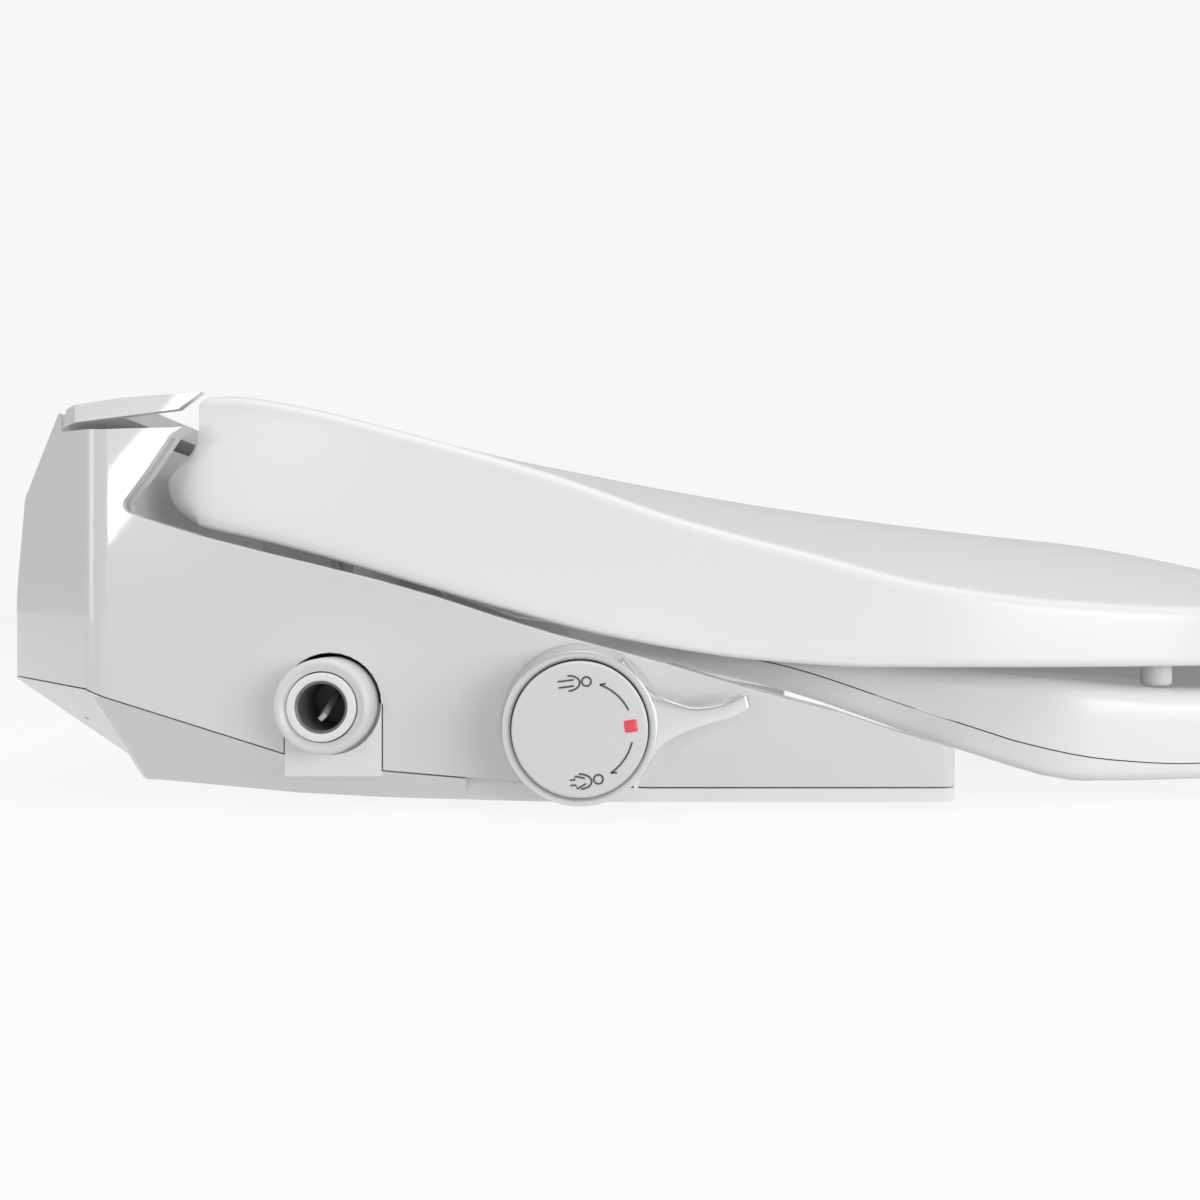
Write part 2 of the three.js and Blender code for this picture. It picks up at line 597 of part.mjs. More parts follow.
// Plan rings of the seat: share 0 is the outer edge, 1 the opening's edge.
function seatRing(share, draw, zOf) {
  const count = 44;
  const ring = [];
  const middle = (SEAT_REAR_X + SEAT_FRONT_X) / 2;
  const reach = (SEAT_FRONT_X - SEAT_REAR_X) / 2;
  const openMiddle = (OPENING_REAR_X + OPENING_FRONT_X) / 2;
  const openReach = (OPENING_FRONT_X - OPENING_REAR_X) / 2;
  for (let i = 0; i < count; i += 1) {
    const t = 2 * Math.PI * (i / count);
    const power = 2 / (Math.cos(t) < 0 ? 3.2 : 2.3);
    const wide = (v, p) => Math.sign(v) * Math.abs(v) ** p;
    const ox = middle + (reach - draw) * wide(Math.cos(t), power);
    const oy = (SEAT_HALF_WIDTH - draw) * wide(Math.sin(t), 2 / 2.3) * seatNarrowing(ox);
    const ix = openMiddle + (openReach + draw) * wide(Math.cos(t), 2 / 2.2);
    const iy = (OPENING_HALF_WIDTH + draw) * wide(Math.sin(t), 2 / 2.2);
    const x = THREE.MathUtils.lerp(ox, ix, share);
    ring.push([x, THREE.MathUtils.lerp(oy, iy, share), zOf(x)]);
  }
  return ring;
}

function buildSeatTop() {
  const t = SEAT_WALL;
  let seat = ringStack([
    seatRing(0, 0, (x) => seatSeam(x) + GAP / 2),
    seatRing(0, 0, (x) => seatTop(x) - 3.5),
    seatRing(0.08, 0, seatTop),
    seatRing(0.5, 0, (x) => seatTop(x) - 2),
    seatRing(0.9, 0, (x) => seatTop(x) - 6),
    seatRing(1, 0, (x) => seatTop(x) - 10 + 0.02 * (x - 120)),
    seatRing(1, 0, (x) => Math.min(seatSeam(x) + GAP / 2, seatTop(x) - 15)),
    seatRing(1, t, (x) => Math.min(seatSeam(x) + GAP / 2, seatTop(x) - 15)),
    seatRing(0.9, t, (x) => seatTop(x) - 6 - t - 1),
    seatRing(0.5, t, (x) => seatTop(x) - 2 - t),
    seatRing(0.08, t, (x) => seatTop(x) - 1 - t),
    seatRing(0, t, (x) => seatSeam(x) + GAP / 2),
  ], true);
  for (const [, side] of SIDES) {
    const [y0, y1] = mirrored(side, EAR_Y - EAR_WIDTH / 2, EAR_Y + EAR_WIDTH / 2);
    const joinX = SEAT_REAR_X + 56;
    const bendX = SEAT_REAR_X + 20;
    const arm = prismY([[HINGE_X - 7, HINGE_Z - 8], [bendX, seatSeam(bendX)], [joinX, seatSeam(joinX) + 1.5],
      [joinX, seatTop(joinX) - 1.5], [bendX, seatTop(bendX) + 1], [HINGE_X + 7, HINGE_Z + 8]], y0, y1)
      .add(rodY(EAR_R, y0, y1, HINGE_X, HINGE_Z));
    seat = seat.add(arm).subtract(rodY(BUSH_R + GAP, y0 - 1, y1 + 1, HINGE_X, HINGE_Z));
  }
  return seat;
}

function buildSeatBottom() {
  const t = SEAT_WALL;
  const innerTop = (x) => Math.min(seatSeam(x) - GAP / 2, seatTop(x) - 15 - GAP);
  return ringStack([
    seatRing(0, 0, (x) => seatSeam(x) - GAP / 2),
    seatRing(0, t, (x) => seatSeam(x) - GAP / 2),
    seatRing(0, t, (x) => Math.min(seatBottom(x) + 3, seatSeam(x) - 2)),
    seatRing(1, t, (x) => Math.min(seatBottom(x) + 2.6, innerTop(x) - 1)),
    seatRing(1, t, innerTop),
    seatRing(1, 0, innerTop),
    seatRing(1, 0, (x) => Math.min(seatBottom(x), innerTop(x) - 3)),
    seatRing(0, 3, seatBottom),
    seatRing(0, 0, (x) => Math.min(seatBottom(x) + 2, seatSeam(x) - 1.5)),
  ], true);
}

// ---------- water side ----------

function buildLever() {
  const face = -HALF_WIDTH - GAP;
  const [floorY, frontY, holeY] = [face - RING_FLOOR, face - RING_DEPTH, face - RING_BACK];
  const [recessR, holeR, footR] = [CAP_R + GAP, SPINDLE_R + GAP, KNOB_R + 1.4];
  const front = [[0, floorY], [recessR, floorY], [recessR, frontY], [KNOB_R - 1, frontY], [KNOB_R, frontY + 1]];
  const back = [[KNOB_R, face - 6], [footR, face - 3], [footR, face], [holeR, face], [holeR, holeY],
    [0, holeY]];
  const ring = turnedY([...front, ...back], KNOB_X, KNOB_Z);
  const handle = [[14, 17], [18.5, 14.6], [22.9, 10.4], [28, 8], [33.6, 6.8], [39, 6.9], [43.5, 7.7],
    [49.7, 11], [51.4, 9], [50.6, 5.4], [44, 2.1], [38.4, 0.3],
    [31.6, -1.5], [24.7, -4.8], [21, -10.4], [16, -14]];
  const lever = prismY(handle.map(([x, z]) => [KNOB_X + x, KNOB_Z + z]), face - 17, face - 5)
    .subtract(rodY(CAP_R + GAP + 1, face - 30, face, KNOB_X, KNOB_Z, 40));
  return ring.add(lever);
}

function buildValveBody() {
  const back = -ARM_INNER_Y - WALL - GAP;
  return rodY(VALVE_R, back - VALVE_DEPTH, back, KNOB_X, KNOB_Z, 28)
    .subtract(rodY(VALVE_R - VALVE_WALL, back - VALVE_DEPTH - 1, back - VALVE_WALL, KNOB_X, KNOB_Z, 28));
}

// ---------- assembly: housing ----------

piece('main_cover', buildCover(), WHITE);
piece('base_chassis', buildBase(), GREY_WHITE);
piece('rear_ridge_cover', buildRidge(), WHITE);

// ---------- assembly: fixing ----------

const slots = SIDES.map(([, side]) => {
  const y = side * BOLT_SPACING / 2;
  const end = BOLT_SLOT_LENGTH / 2 - BOLT_SLOT_WIDTH / 2;
  return box(-end, end, y - BOLT_SLOT_WIDTH / 2, y + BOLT_SLOT_WIDTH / 2, -1, 20)
    .add(rodZ(BOLT_SLOT_WIDTH / 2, -1, 20, -end, y))
    .add(rodZ(BOLT_SLOT_WIDTH / 2, -1, 20, end, y));
});
const slotPair = slots[0].add(slots[1]);
const bracketBox = (z0, z1) => box(BRACKET_REAR_X, BRACKET_FRONT_X, -BRACKET_HALF_Y, BRACKET_HALF_Y, z0, z1);
piece('bracket_pad', bracketBox(0, PAD_THICK).subtract(slotPair), BLACK_RUBBER);
piece('mounting_bracket', bracketBox(PAD_THICK + GAP, BRACKET_TOP_Z).subtract(slotPair), INNER);
piece('release_button', buildReleaseButton(), GREY_WHITE);

// ---------- assembly: seat and lid ----------

piece('lid_shell', buildLid(), WHITE);
piece('seat_top_shell', buildSeatTop(), WHITE);
piece('seat_bottom_shell', buildSeatBottom(), GREY_WHITE);

const SEAT_BUMPERS = [['mid', 300, SEAT_HALF_WIDTH - 36], ['front', SEAT_FRONT_X - 34, 62]];
for (const [label, side] of SIDES) {
  for (const [place, x, y] of SEAT_BUMPERS) {
    piece(`seat_bumper_${place}_${label}`, rodZ(BUMPER_R, 0, seatBottom(x) - GAP, x, side * y), RUBBER);
  }
  const low = seatTop(LID_BUMPER_X) + 0.6;
  const bumper = rodZ(LID_BUMPER_R, low, LID_REST_Z - GAP, LID_BUMPER_X, side * LID_BUMPER_Y, 14);
  piece(`lid_bumper_${label}`, bumper, RUBBER);
  const [p0, p1] = mirrored(side, EAR_Y - EAR_WIDTH / 2 - 2, LUG_Y + LUG_WIDTH / 2 + 2);
  piece(`hinge_pin_${label}`, rodY(PIN_R, p0, p1, HINGE_X, HINGE_Z, 20), STEEL);
  const bush = (y, width) => {
    const [y0, y1] = mirrored(side, y - width / 2, y + width / 2);
    return rodY(BUSH_R, y0, y1, HINGE_X, HINGE_Z, 20)
      .subtract(rodY(PIN_R + RUN, y0 - 1, y1 + 1, HINGE_X, HINGE_Z, 20));
  };
  piece(`seat_bush_${label}`, bush(EAR_Y, EAR_WIDTH), INNER);
  piece(`lid_bush_${label}`, bush(LUG_Y, LUG_WIDTH), INNER);
}

// The soft-close dampers lie on the hinge line, inboard of the seat's ears, each on its own foot.
for (const [name, side] of [['seat_damper', -1], ['lid_damper', 1]]) {
  const inner = EAR_Y - EAR_WIDTH / 2 - 2 - GAP - DAMPER_LENGTH;
  const [y0, y1] = mirrored(side, inner, inner + DAMPER_LENGTH);
  const foot = box(HINGE_X + 2, HINGE_X + 12, y0 + 12, y1 - 12, HINGE_Z - WELL_R - 1, HINGE_Z - 4);
  const clearOfDeck = box(HINGE_X - 30, HINGE_X + 30, y0, y1, DECK_Z + 4.6, 90);
  piece(name, rodY(9, y0, y1, HINGE_X, HINGE_Z, 20).add(foot.intersect(clearOfDeck)), CLEAR_GREY);
}

// ---------- assembly: inlet and valve ----------

const face = -HALF_WIDTH;
const inletEnd = face - INLET_REACH;
const inletBack = face + INLET_DEPTH;
piece('inlet_fitting', rodY(INLET_R, inletEnd, inletBack, INLET_X, INLET_Z, 32)
  .subtract(rodY(INLET_BORE_R, inletEnd - 1, inletBack + 1, INLET_X, INLET_Z, 32)), GREY_WHITE);
piece('inlet_collar', rodY(COLLAR_R, inletEnd + 0.6, face + 1.5, INLET_X, INLET_Z, 36)
  .subtract(rodY(INLET_R + GAP, inletEnd - 1, face + 3, INLET_X, INLET_Z, 36)), WHITE);
const strainerFace = face + 14;
const strainerBack = strainerFace + STRAINER_THICK;
piece('inlet_strainer', rodY(INLET_BORE_R - GAP, strainerFace, strainerBack, INLET_X, INLET_Z, 20), STEEL);
const pinLength = 20;
const pin = new THREE.BoxGeometry(2.6, pinLength, 1.6).rotateX(0.22).rotateZ(-0.22).rotateY(-0.7);
piece('check_valve_pin', solid(pin.translate(INLET_X - 0.6, face + 2.4, INLET_Z - 0.6)), INNER);
const regulatorEnd = inletBack + GAP + REGULATOR_LENGTH;
piece('flow_regulator', rodY(REGULATOR_R, inletBack + GAP, regulatorEnd, INLET_X, INLET_Z, 20), CLEAR_GREY);

piece('valve_body', buildValveBody(), INNER);
const valveBack = -ARM_INNER_Y - WALL - GAP;
const discR = VALVE_R - VALVE_WALL - RUN;
const fixedDisc = valveBack - VALVE_WALL - GAP;
piece('ceramic_disc_fixed', rodY(discR, fixedDisc - DISC_THICK, fixedDisc, KNOB_X, KNOB_Z, 24), GREY_WHITE);
const turningDisc = fixedDisc - DISC_THICK - GAP;
const discFace = turningDisc - DISC_THICK;
piece('ceramic_disc_turning', rodY(discR, discFace, turningDisc, KNOB_X, KNOB_Z, 24), GREY_WHITE);
const leverFloor = face - GAP - RING_BACK;
piece('valve_spindle', rodY(SPINDLE_R, leverFloor, discFace - GAP, KNOB_X, KNOB_Z, 20), STEEL);
const sealIn = SPINDLE_R + GAP;
const sealOut = SPINDLE_R + 3;
const sealBack = discFace - 1;
const sealFront = sealBack - SEAL_THICK;
const sealProfile = [[sealIn, sealFront], [sealOut, sealFront], [sealOut, sealBack], [sealIn, sealBack],
  [sealIn, sealFront]];
piece('spindle_seal', turnedY(sealProfile, KNOB_X, KNOB_Z, 20), BLACK_RUBBER);
piece('control_lever', buildLever(), SILVER);
const capBack = face - GAP - RING_FLOOR - GAP;
const capFace = face - KNOB_REACH;
const capProfile = [[0, capFace], [CAP_R - 0.8, capFace], [CAP_R, capFace + 0.8], [CAP_R, capBack],
  [0, capBack]];
piece('knob_cap', turnedY(capProfile, KNOB_X, KNOB_Z), WHITE);
const markFace = capFace - GAP;
piece('off_mark', box(KNOB_X + 13, KNOB_X + 17, markFace - 0.3, markFace, KNOB_Z - 0.8, KNOB_Z + 3.2), RED);

const valveRear = KNOB_X - VALVE_R - GAP;
const lane = -HALF_WIDTH + WALL + 11;
piece('supply_hose', hose([[INLET_X, regulatorEnd + GAP, INLET_Z], [INLET_X, regulatorEnd + 7, INLET_Z],
  [INLET_X + 16, regulatorEnd + 6, 28], [INLET_X + 34, lane + 12, 26], [92, lane + 1, 25],
  [valveRear, lane, KNOB_Z]]), RUBBER);

// ---------- assembly: nozzles, in a frame that tilts down to the front from the tips ----------

const nozzleUnit = new THREE.Group();
nozzleUnit.position.set(HOUSING_FRONT_X, 0, NOZZLE_TIP_Z);
nozzleUnit.rotation.y = NOZZLE_TILT;
root.add(nozzleUnit);

const tipLength = 6;
const barrelBack = -NOZZLE_LENGTH - 10;
const barrelFront = -tipLength - 3;
const laneY = NOZZLE_SPACING / 2;
const bore = (y) => rodX(NOZZLE_R + RUN, barrelBack + 5, 5, y, 0);
const [carrierY, carrierZ] = [laneY + NOZZLE_R + 4, NOZZLE_R + 3.5];
const carrier = box(barrelBack, barrelFront, -carrierY, carrierY, -carrierZ, carrierZ);
piece('nozzle_carrier', carrier.subtract(bore(-laneY)).subtract(bore(laneY)), INNER, nozzleUnit);
for (const [name, y] of [['rear', -laneY], ['front', laneY]]) {
  const spray = rodZ(SPRAY_R, NOZZLE_R - 3, NOZZLE_R + 4, -9 - tipLength, y, 12);
  const tube = rodX(NOZZLE_R, -NOZZLE_LENGTH, -tipLength - GAP, y, 0);
  piece(`${name}_nozzle`, tube.subtract(spray), WHITE, nozzleUnit);
  piece(`${name}_nozzle_tip`, rodX(NOZZLE_R + 0.2, -tipLength, 0, y, 0), CLEAR_GREY, nozzleUnit);
}

const cosT = Math.cos(NOZZLE_TILT);
const sinT = Math.sin(NOZZLE_TILT);
const atUnit = (x, y) => [HOUSING_FRONT_X + x * cosT, y, NOZZLE_TIP_Z - x * sinT];
const portX = barrelBack - GAP;
piece('rear_hose', hose([[valveRear, lane, KNOB_Z + 9], [90, lane + 0.5, 35],
  [66, lane + 24, 36], [30, -110, 38],
  [-8, -56, 41], [-17, -24, 45], atUnit(portX - 9, -laneY), atUnit(portX, -laneY)]), RUBBER);
piece('front_hose', hose([[valveRear, lane, KNOB_Z - 9], [90, lane + 0.5, 15], [70, lane + 28, 14.5],
  [26, -108, 17], [-22, -66, 30], [-36, -20, 42], [-27, laneY - 2, 47], atUnit(portX - 9, laneY),
  atUnit(portX, laneY)]), RUBBER);

// ---------- assembly: nozzle guard ----------

const guardX = HOUSING_FRONT_X + 3;
const guardY = GUARD_WIDTH / 2;
const [guardRear, guardFront] = [guardX - GUARD_THICK / 2, guardX + GUARD_THICK / 2];
piece('nozzle_guard', box(guardRear, guardFront, -guardY, guardY, GUARD_LOW_Z, GUARD_TOP_Z)
  .add(rodY(GUARD_PIN_R + 1.8, -guardY, guardY, guardX, GUARD_TOP_Z, 16))
  .subtract(rodY(GUARD_PIN_R + RUN, -GUARD_WIDTH, GUARD_WIDTH, guardX, GUARD_TOP_Z, 12)), WHITE);
piece('guard_pin', rodY(GUARD_PIN_R, -guardY - 3, guardY + 3, guardX, GUARD_TOP_Z, 12), STEEL);

// ---------- assembly: screws that hold the cover to the base ----------

for (const [label, side] of SIDES) {
  for (const [place, x, y] of [['rear', -36, 112], ['front', 76, 120]]) {
    const headZ = FLOOR_THICK + GAP;
    const head = rodZ(SCREW_HEAD_R, headZ, headZ + 3, x, side * y, 12);
    const shank = rodZ(SCREW_R, headZ + 2, SCREW_TOP_Z, x, side * y, 10);
    piece(`cover_screw_${place}_${label}`, head.add(shank), STEEL);
  }
}

export default root;
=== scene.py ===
"""Looks of a water-powered bidet seat with a side lever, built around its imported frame.

Metres, +X to the front of the bowl, +Y to the user's left, +Z up. Curves are written in millimetres.
"""

import json

import bmesh
import bpy
import numpy as np
from bpy.props import FloatProperty, FloatVectorProperty, PointerProperty
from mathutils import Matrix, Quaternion, Vector


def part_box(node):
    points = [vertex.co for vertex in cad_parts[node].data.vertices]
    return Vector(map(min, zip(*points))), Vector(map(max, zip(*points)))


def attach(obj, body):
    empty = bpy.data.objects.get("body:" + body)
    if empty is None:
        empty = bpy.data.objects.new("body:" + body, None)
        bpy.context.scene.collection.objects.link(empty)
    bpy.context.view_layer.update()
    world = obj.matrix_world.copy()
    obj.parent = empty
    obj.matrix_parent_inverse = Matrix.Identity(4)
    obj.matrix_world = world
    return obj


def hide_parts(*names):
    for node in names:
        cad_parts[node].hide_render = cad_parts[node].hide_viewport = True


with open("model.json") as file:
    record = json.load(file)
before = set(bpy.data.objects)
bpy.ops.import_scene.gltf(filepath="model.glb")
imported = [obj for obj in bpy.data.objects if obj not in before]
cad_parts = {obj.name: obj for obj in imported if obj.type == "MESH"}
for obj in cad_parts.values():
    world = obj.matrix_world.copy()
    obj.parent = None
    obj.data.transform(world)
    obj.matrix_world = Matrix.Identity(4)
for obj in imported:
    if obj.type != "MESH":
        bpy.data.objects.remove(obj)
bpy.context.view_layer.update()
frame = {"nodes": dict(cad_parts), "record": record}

bl_info = {
    "name": "Bidet seat looks",
    "version": (1, 0, 0),
    "blender": (4, 5, 0),
    "location": "3D View > Sidebar > Bidet Seat",
    "description": "Surfaces and finishes of a bidet seat with a side lever",
    "category": "Add Mesh",
}

MM = 0.001
SIDES = (("right", -1.0), ("left", 1.0))
NODES = frame["nodes"]
BODY_OF = {node: body for body, nodes in frame["record"]["behaviour"]["bodies"].items() for node in nodes}
SLOT_OF = {row["node"]: row["material_slot"] for row in frame["record"]["subparts"]}


def corners(node):
    """Lowest and highest corner of a node, as arrays in metres."""
    low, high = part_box(node)
    return np.array(low), np.array(high)


def middle(node):
    low, high = corners(node)
    return (low + high) / 2


ARM_FACE_Y = corners("main_cover")[0][1]
HINGE = middle("hinge_pin_right")
KNOB = middle("knob_cap")
INLET = middle("inlet_collar")
LID_LOW, LID_HIGH = corners("lid_shell")
SEAT_HIGH = corners("seat_top_shell")[1]
FLOOR_Z = corners("control_lever")[0][2] - 0.003


# ---------- sizes and colours that a user would change ----------

def length(name, description, default):
    return FloatProperty(name=name, description=description, default=default, min=0.0, subtype="DISTANCE",
                         unit="LENGTH")


def colour(name, description, default):
    return FloatVectorProperty(name=name, description=description, default=default, min=0.0, max=1.0, size=3,
                               subtype="COLOR")


class BIDET_PG_sizes(bpy.types.PropertyGroup):
    """Sizes that finish the surfaces; places come from the frame."""
    lid_wall: length("Lid wall", "Thickness of the lid's shell", 0.0032)
    lid_crest: length("Lid crest", "Radius between the lid's side and its dome", 0.004)
    seat_wall: length("Seat wall", "Thickness of the two seat shells", 0.0028)
    seat_edge: length("Seat edge", "Radius of the seat's outer and inner edge", 0.008)
    cover_edge: length("Cover edge", "Rounding of the housing cover's edges", 0.0011)
    small_edge: length("Small edge", "Rounding of small moulded pieces", 0.0004)
    line_width: length("Line width", "Width of the lines printed on the knob", 0.00052)
    mark_depth: length("Mark depth", "How far the knob's marks stand off the cap", 0.00012)
    room: length("Room", "Half the width of the pale floor", 6.0)


class BIDET_PG_colours(bpy.types.PropertyGroup):
    """Base colours of the finishes."""
    gloss_white: colour("Gloss white", "Lid and seat", (0.87, 0.87, 0.875))
    # Painted shade: the lid's white darkened, so the housing cover and ridge, and the knob cap and inlet
    # collar that share it, look shaded
    cover_white: colour("Cover white", "Housing cover and ridge", (0.78, 0.78, 0.785))
    satin_white: colour("Satin white", "Base, seat underside and small covers", (0.83, 0.835, 0.84))
    inner_plastic: colour("Inner plastic", "Bracket, carrier and valve body", (0.72, 0.72, 0.70))
    grey_plastic: colour("Grey plastic", "Dampers, regulator and nozzle tips", (0.42, 0.44, 0.46))
    silver: colour("Silver", "Ring round the knob", (0.42, 0.42, 0.43))
    # Painted highlight: a lighter copy of the ring's silver, standing in for the light on the blade's top
    blade: colour("Blade silver", "Control lever's blade", (0.76, 0.76, 0.77))
    steel: colour("Steel", "Pins, screws and strainer", (0.52, 0.53, 0.54))
    ceramic: colour("Ceramic", "Valve discs", (0.86, 0.85, 0.82))
    bumper: colour("Bumper rubber", "Seat and lid bumpers", (0.62, 0.62, 0.62))
    bore_grey: colour("Bore grey", "Inside of the inlet's bore", (0.16, 0.165, 0.17))
    dark_rubber: colour("Dark rubber", "Bracket pad and spindle seal", (0.05, 0.05, 0.052))
    hose: colour("Hose", "Water hoses", (0.74, 0.75, 0.77))
    mark_red: colour("Red mark", "Off mark on the knob", (0.90, 0.035, 0.075))
    ink: colour("Ink", "Printed lines on the knob", (0.075, 0.08, 0.085))
    backdrop: colour("Backdrop", "Floor and background", (0.930, 0.930, 0.930))


def sizes():
    return bpy.context.scene.bidet_sizes


def colours():
    return bpy.context.scene.bidet_colours


# ---------- curves ----------

def curve(*points):
    """Smooth line through [x, value] points in millimetres, as a function of x in metres that gives metres.

    Cubic pieces whose slope at a point is the harmonic mean of the rises beside it, so they never overshoot.
    """
    x, z = np.array(points, float).T * MM
    rise = np.diff(z) / np.diff(x)
    before, after = rise[:-1], rise[1:]
    turning = before * after <= 0
    total = np.where(turning, 1.0, before + after)
    slope = np.concatenate([[0.0], np.where(turning, 0.0, 2 * before * after / total), [0.0]])

    def height(at):
        at = np.clip(at, x[0], x[-1])
        i = np.clip(np.searchsorted(x, at) - 1, 0, len(x) - 2)
        width = x[i + 1] - x[i]
        t = (at - x[i]) / width
        s = 1 - t
        return (z[i] * s * s * (1 + 2 * t) + z[i + 1] * t * t * (3 - 2 * t)
                + width * t * s * (slope[i] * s - slope[i + 1] * t))
    return height


LID_BOTTOM = curve((-20, 89.5), (12, 84), (98, 60.2), (129, 52), (155, 47.2), (184, 43.4),
                   (218, 41.4), (500, 41))
LID_CREST = curve((-20, 128), (8, 130), (27, 127.5), (66, 118), (114, 104.3), (155, 90), (198, 78.6),
                  (241, 68), (284, 63), (323, 61.2), (500, 60))
LID_CROWN = curve((-20, 130), (10, 132), (110, 120), (205, 105), (318, 91), (411, 83), (500, 78))
SEAT_TOP = curve((60, 70), (80, 67), (120, 60), (189, 49), (239, 42), (298, 35.5), (325, 33.5), (500, 33))
SEAT_SEAM = curve((60, 63), (80, 60), (120, 53), (189, 41.5), (239, 25.6), (272, 15.3), (297, 10.8),
                  (325, 9), (500, 9))
SEAT_BOTTOM = curve((60, 56), (80, 53), (120, 46), (189, 33), (239, 16.5), (266, 8), (282, 4.2),
                    (300, 3.5), (500, 3.5))


def signed_power(value, power):
    return np.sign(value) * np.abs(value) ** power


def smoothstep(value, low, high):
    t = np.clip((value - low) / (high - low), 0, 1)
    return t * t * (3 - 2 * t)


# ---------- meshes ----------

def surface(name, grid, wrap_rows=False, wrap_columns=True, flat_angle=32.0):
    """Piece made of a grid of points, shaped (rows, columns, 3), with a quad between each four neighbours.

    Equal points are merged, so a row or column drawn together closes into a pole.
    """
    rows, columns = grid.shape[:2]
    index = np.arange(rows * columns).reshape(rows, columns)
    if wrap_rows:
        index = np.vstack([index, index[:1]])
    if wrap_columns:
        index = np.hstack([index, index[:, :1]])
    quads = np.stack([index[:-1, :-1], index[:-1, 1:], index[1:, 1:], index[1:, :-1]], axis=-1).reshape(-1, 4)
    mesh = bpy.data.meshes.new(name)
    mesh.from_pydata(grid.reshape(-1, 3).tolist(), [], quads.tolist())
    return finished(name, mesh, flat_angle)


def finished(name, mesh, flat_angle):
    """Object of a mesh: doubles merged, faces pointing out, smooth but for edges over flat_angle degrees."""
    build = bmesh.new()
    build.from_mesh(mesh)
    bmesh.ops.remove_doubles(build, verts=build.verts, dist=2e-6)
    bmesh.ops.dissolve_degenerate(build, edges=build.edges, dist=1e-6)
    holes = [edge for edge in build.edges if edge.is_boundary]
    if holes:
        bmesh.ops.holes_fill(build, edges=holes, sides=0)
    bmesh.ops.recalc_face_normals(build, faces=build.faces)
    build.to_mesh(mesh)
    build.free()
    mesh.shade_smooth()
    mesh.set_sharp_from_angle(angle=np.radians(flat_angle))
    piece = bpy.data.objects.new(name, mesh)
    bpy.context.scene.collection.objects.link(piece)
    return piece


def turned(name, profile, centre, axis="y", sides=96, flat_angle=32.0, ring=False):
    """Piece turned about an axis through centre: profile is [radius, distance along the axis] in metres.

    A point at angle a is centre + radius * (cos a, sin a) across the axis + distance along it.
    """
    radius, along = np.array(profile, float).T
    angle = np.linspace(0, 2 * np.pi, sides, endpoint=False)
    first = radius[:, None] * np.cos(angle)
    second = radius[:, None] * np.sin(angle)
    along = np.broadcast_to(along[:, None], first.shape)
    order = {"y": (first, along, second), "z": (first, second, along)}[axis]
    return surface(name, np.stack(order, axis=-1) + np.asarray(centre), wrap_rows=ring, flat_angle=flat_angle)


def arc(centre, radius, start, end, steps=6):
    """Points on an arc, from start to end in degrees."""
    angle = np.radians(np.linspace(start, end, steps))
    return np.stack([centre[0] + radius * np.cos(angle), centre[1] + radius * np.sin(angle)], axis=-1)


def slab(name, outline, y0, y1, edge, segments=3):
    """Outline of [x, z] points carried along Y from y0 to y1, with its edges rounded."""
    outline = np.asarray(outline)
    grid = np.empty((2, len(outline), 3))
    grid[..., 0] = outline[:, 0]
    grid[..., 1] = np.array([y0, y1])[:, None]
    grid[..., 2] = outline[:, 1]
    piece = surface(name, grid)
    bevel(piece, edge, segments)
    return piece


def bevel(piece, width, segments=3, angle=30.0):
    """Rounds a piece's edges over an angle in degrees, and keeps its flat faces flat."""
    modifier = piece.modifiers.new("Rounded edges", "BEVEL")
    modifier.width = width
    modifier.segments = segments
    modifier.limit_method = "ANGLE"
    modifier.angle_limit = np.radians(angle)
    modifier.use_clamp_overlap = True
    modifier.miter_outer = "MITER_ARC"
    modifier.harden_normals = False
    weighted = piece.modifiers.new("Flat faces", "WEIGHTED_NORMAL")
    weighted.keep_sharp = False
    piece.data.shade_smooth()
    return piece


def placed(piece, node=None, body=None, slot=None, finish=None):
    """Hangs a piece on its body, hides the node it stands for, and gives it the material of its finish, else
    of the given slot, else of its node's slot.
    """
    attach(piece, body or BODY_OF[node])
    if node:
        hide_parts(node)
    piece.data.materials.clear()
    piece.data.materials.append(material(finish or slot or SLOT_OF[node]))
    return piece


def rounded_copy(node, edge, segments=3, shortest=0.0002, finish=None):
    """Copy of a node's mesh as one skin, its flat faces joined and its edges rounded."""
    mesh = NODES[node].data.copy()
    build = bmesh.new()
    build.from_mesh(mesh)
    bmesh.ops.remove_doubles(build, verts=build.verts, dist=shortest)
    bmesh.ops.dissolve_degenerate(build, edges=build.edges, dist=shortest)
    bmesh.ops.dissolve_limit(build, angle_limit=np.radians(1.0), verts=build.verts, edges=build.edges)
    build.to_mesh(mesh)
    build.free()
    piece = bpy.data.objects.new(f"{node}_shape", mesh)
    bpy.context.scene.collection.objects.link(piece)
    bevel(piece, edge, segments)
    return placed(piece, node, finish=finish)


# ---------- finishes ----------

# Sockets of the colour mix node, which shares its names with its number and vector sockets
FACTOR, COLOUR_A, COLOUR_B, COLOUR_OUT = 0, 6, 7, 2


def node_in(tree, kind, x=0, y=0, **values):
    """Adds a shader node, and sets its inputs by name and its own settings."""
    node = tree.nodes.new(kind)
    node.location = (x, y)
    for name, value in values.items():
        title = name.replace("_", " ")
        if title in node.inputs:
            node.inputs[title].default_value = value
        else:
            setattr(node, name, value)
    return node


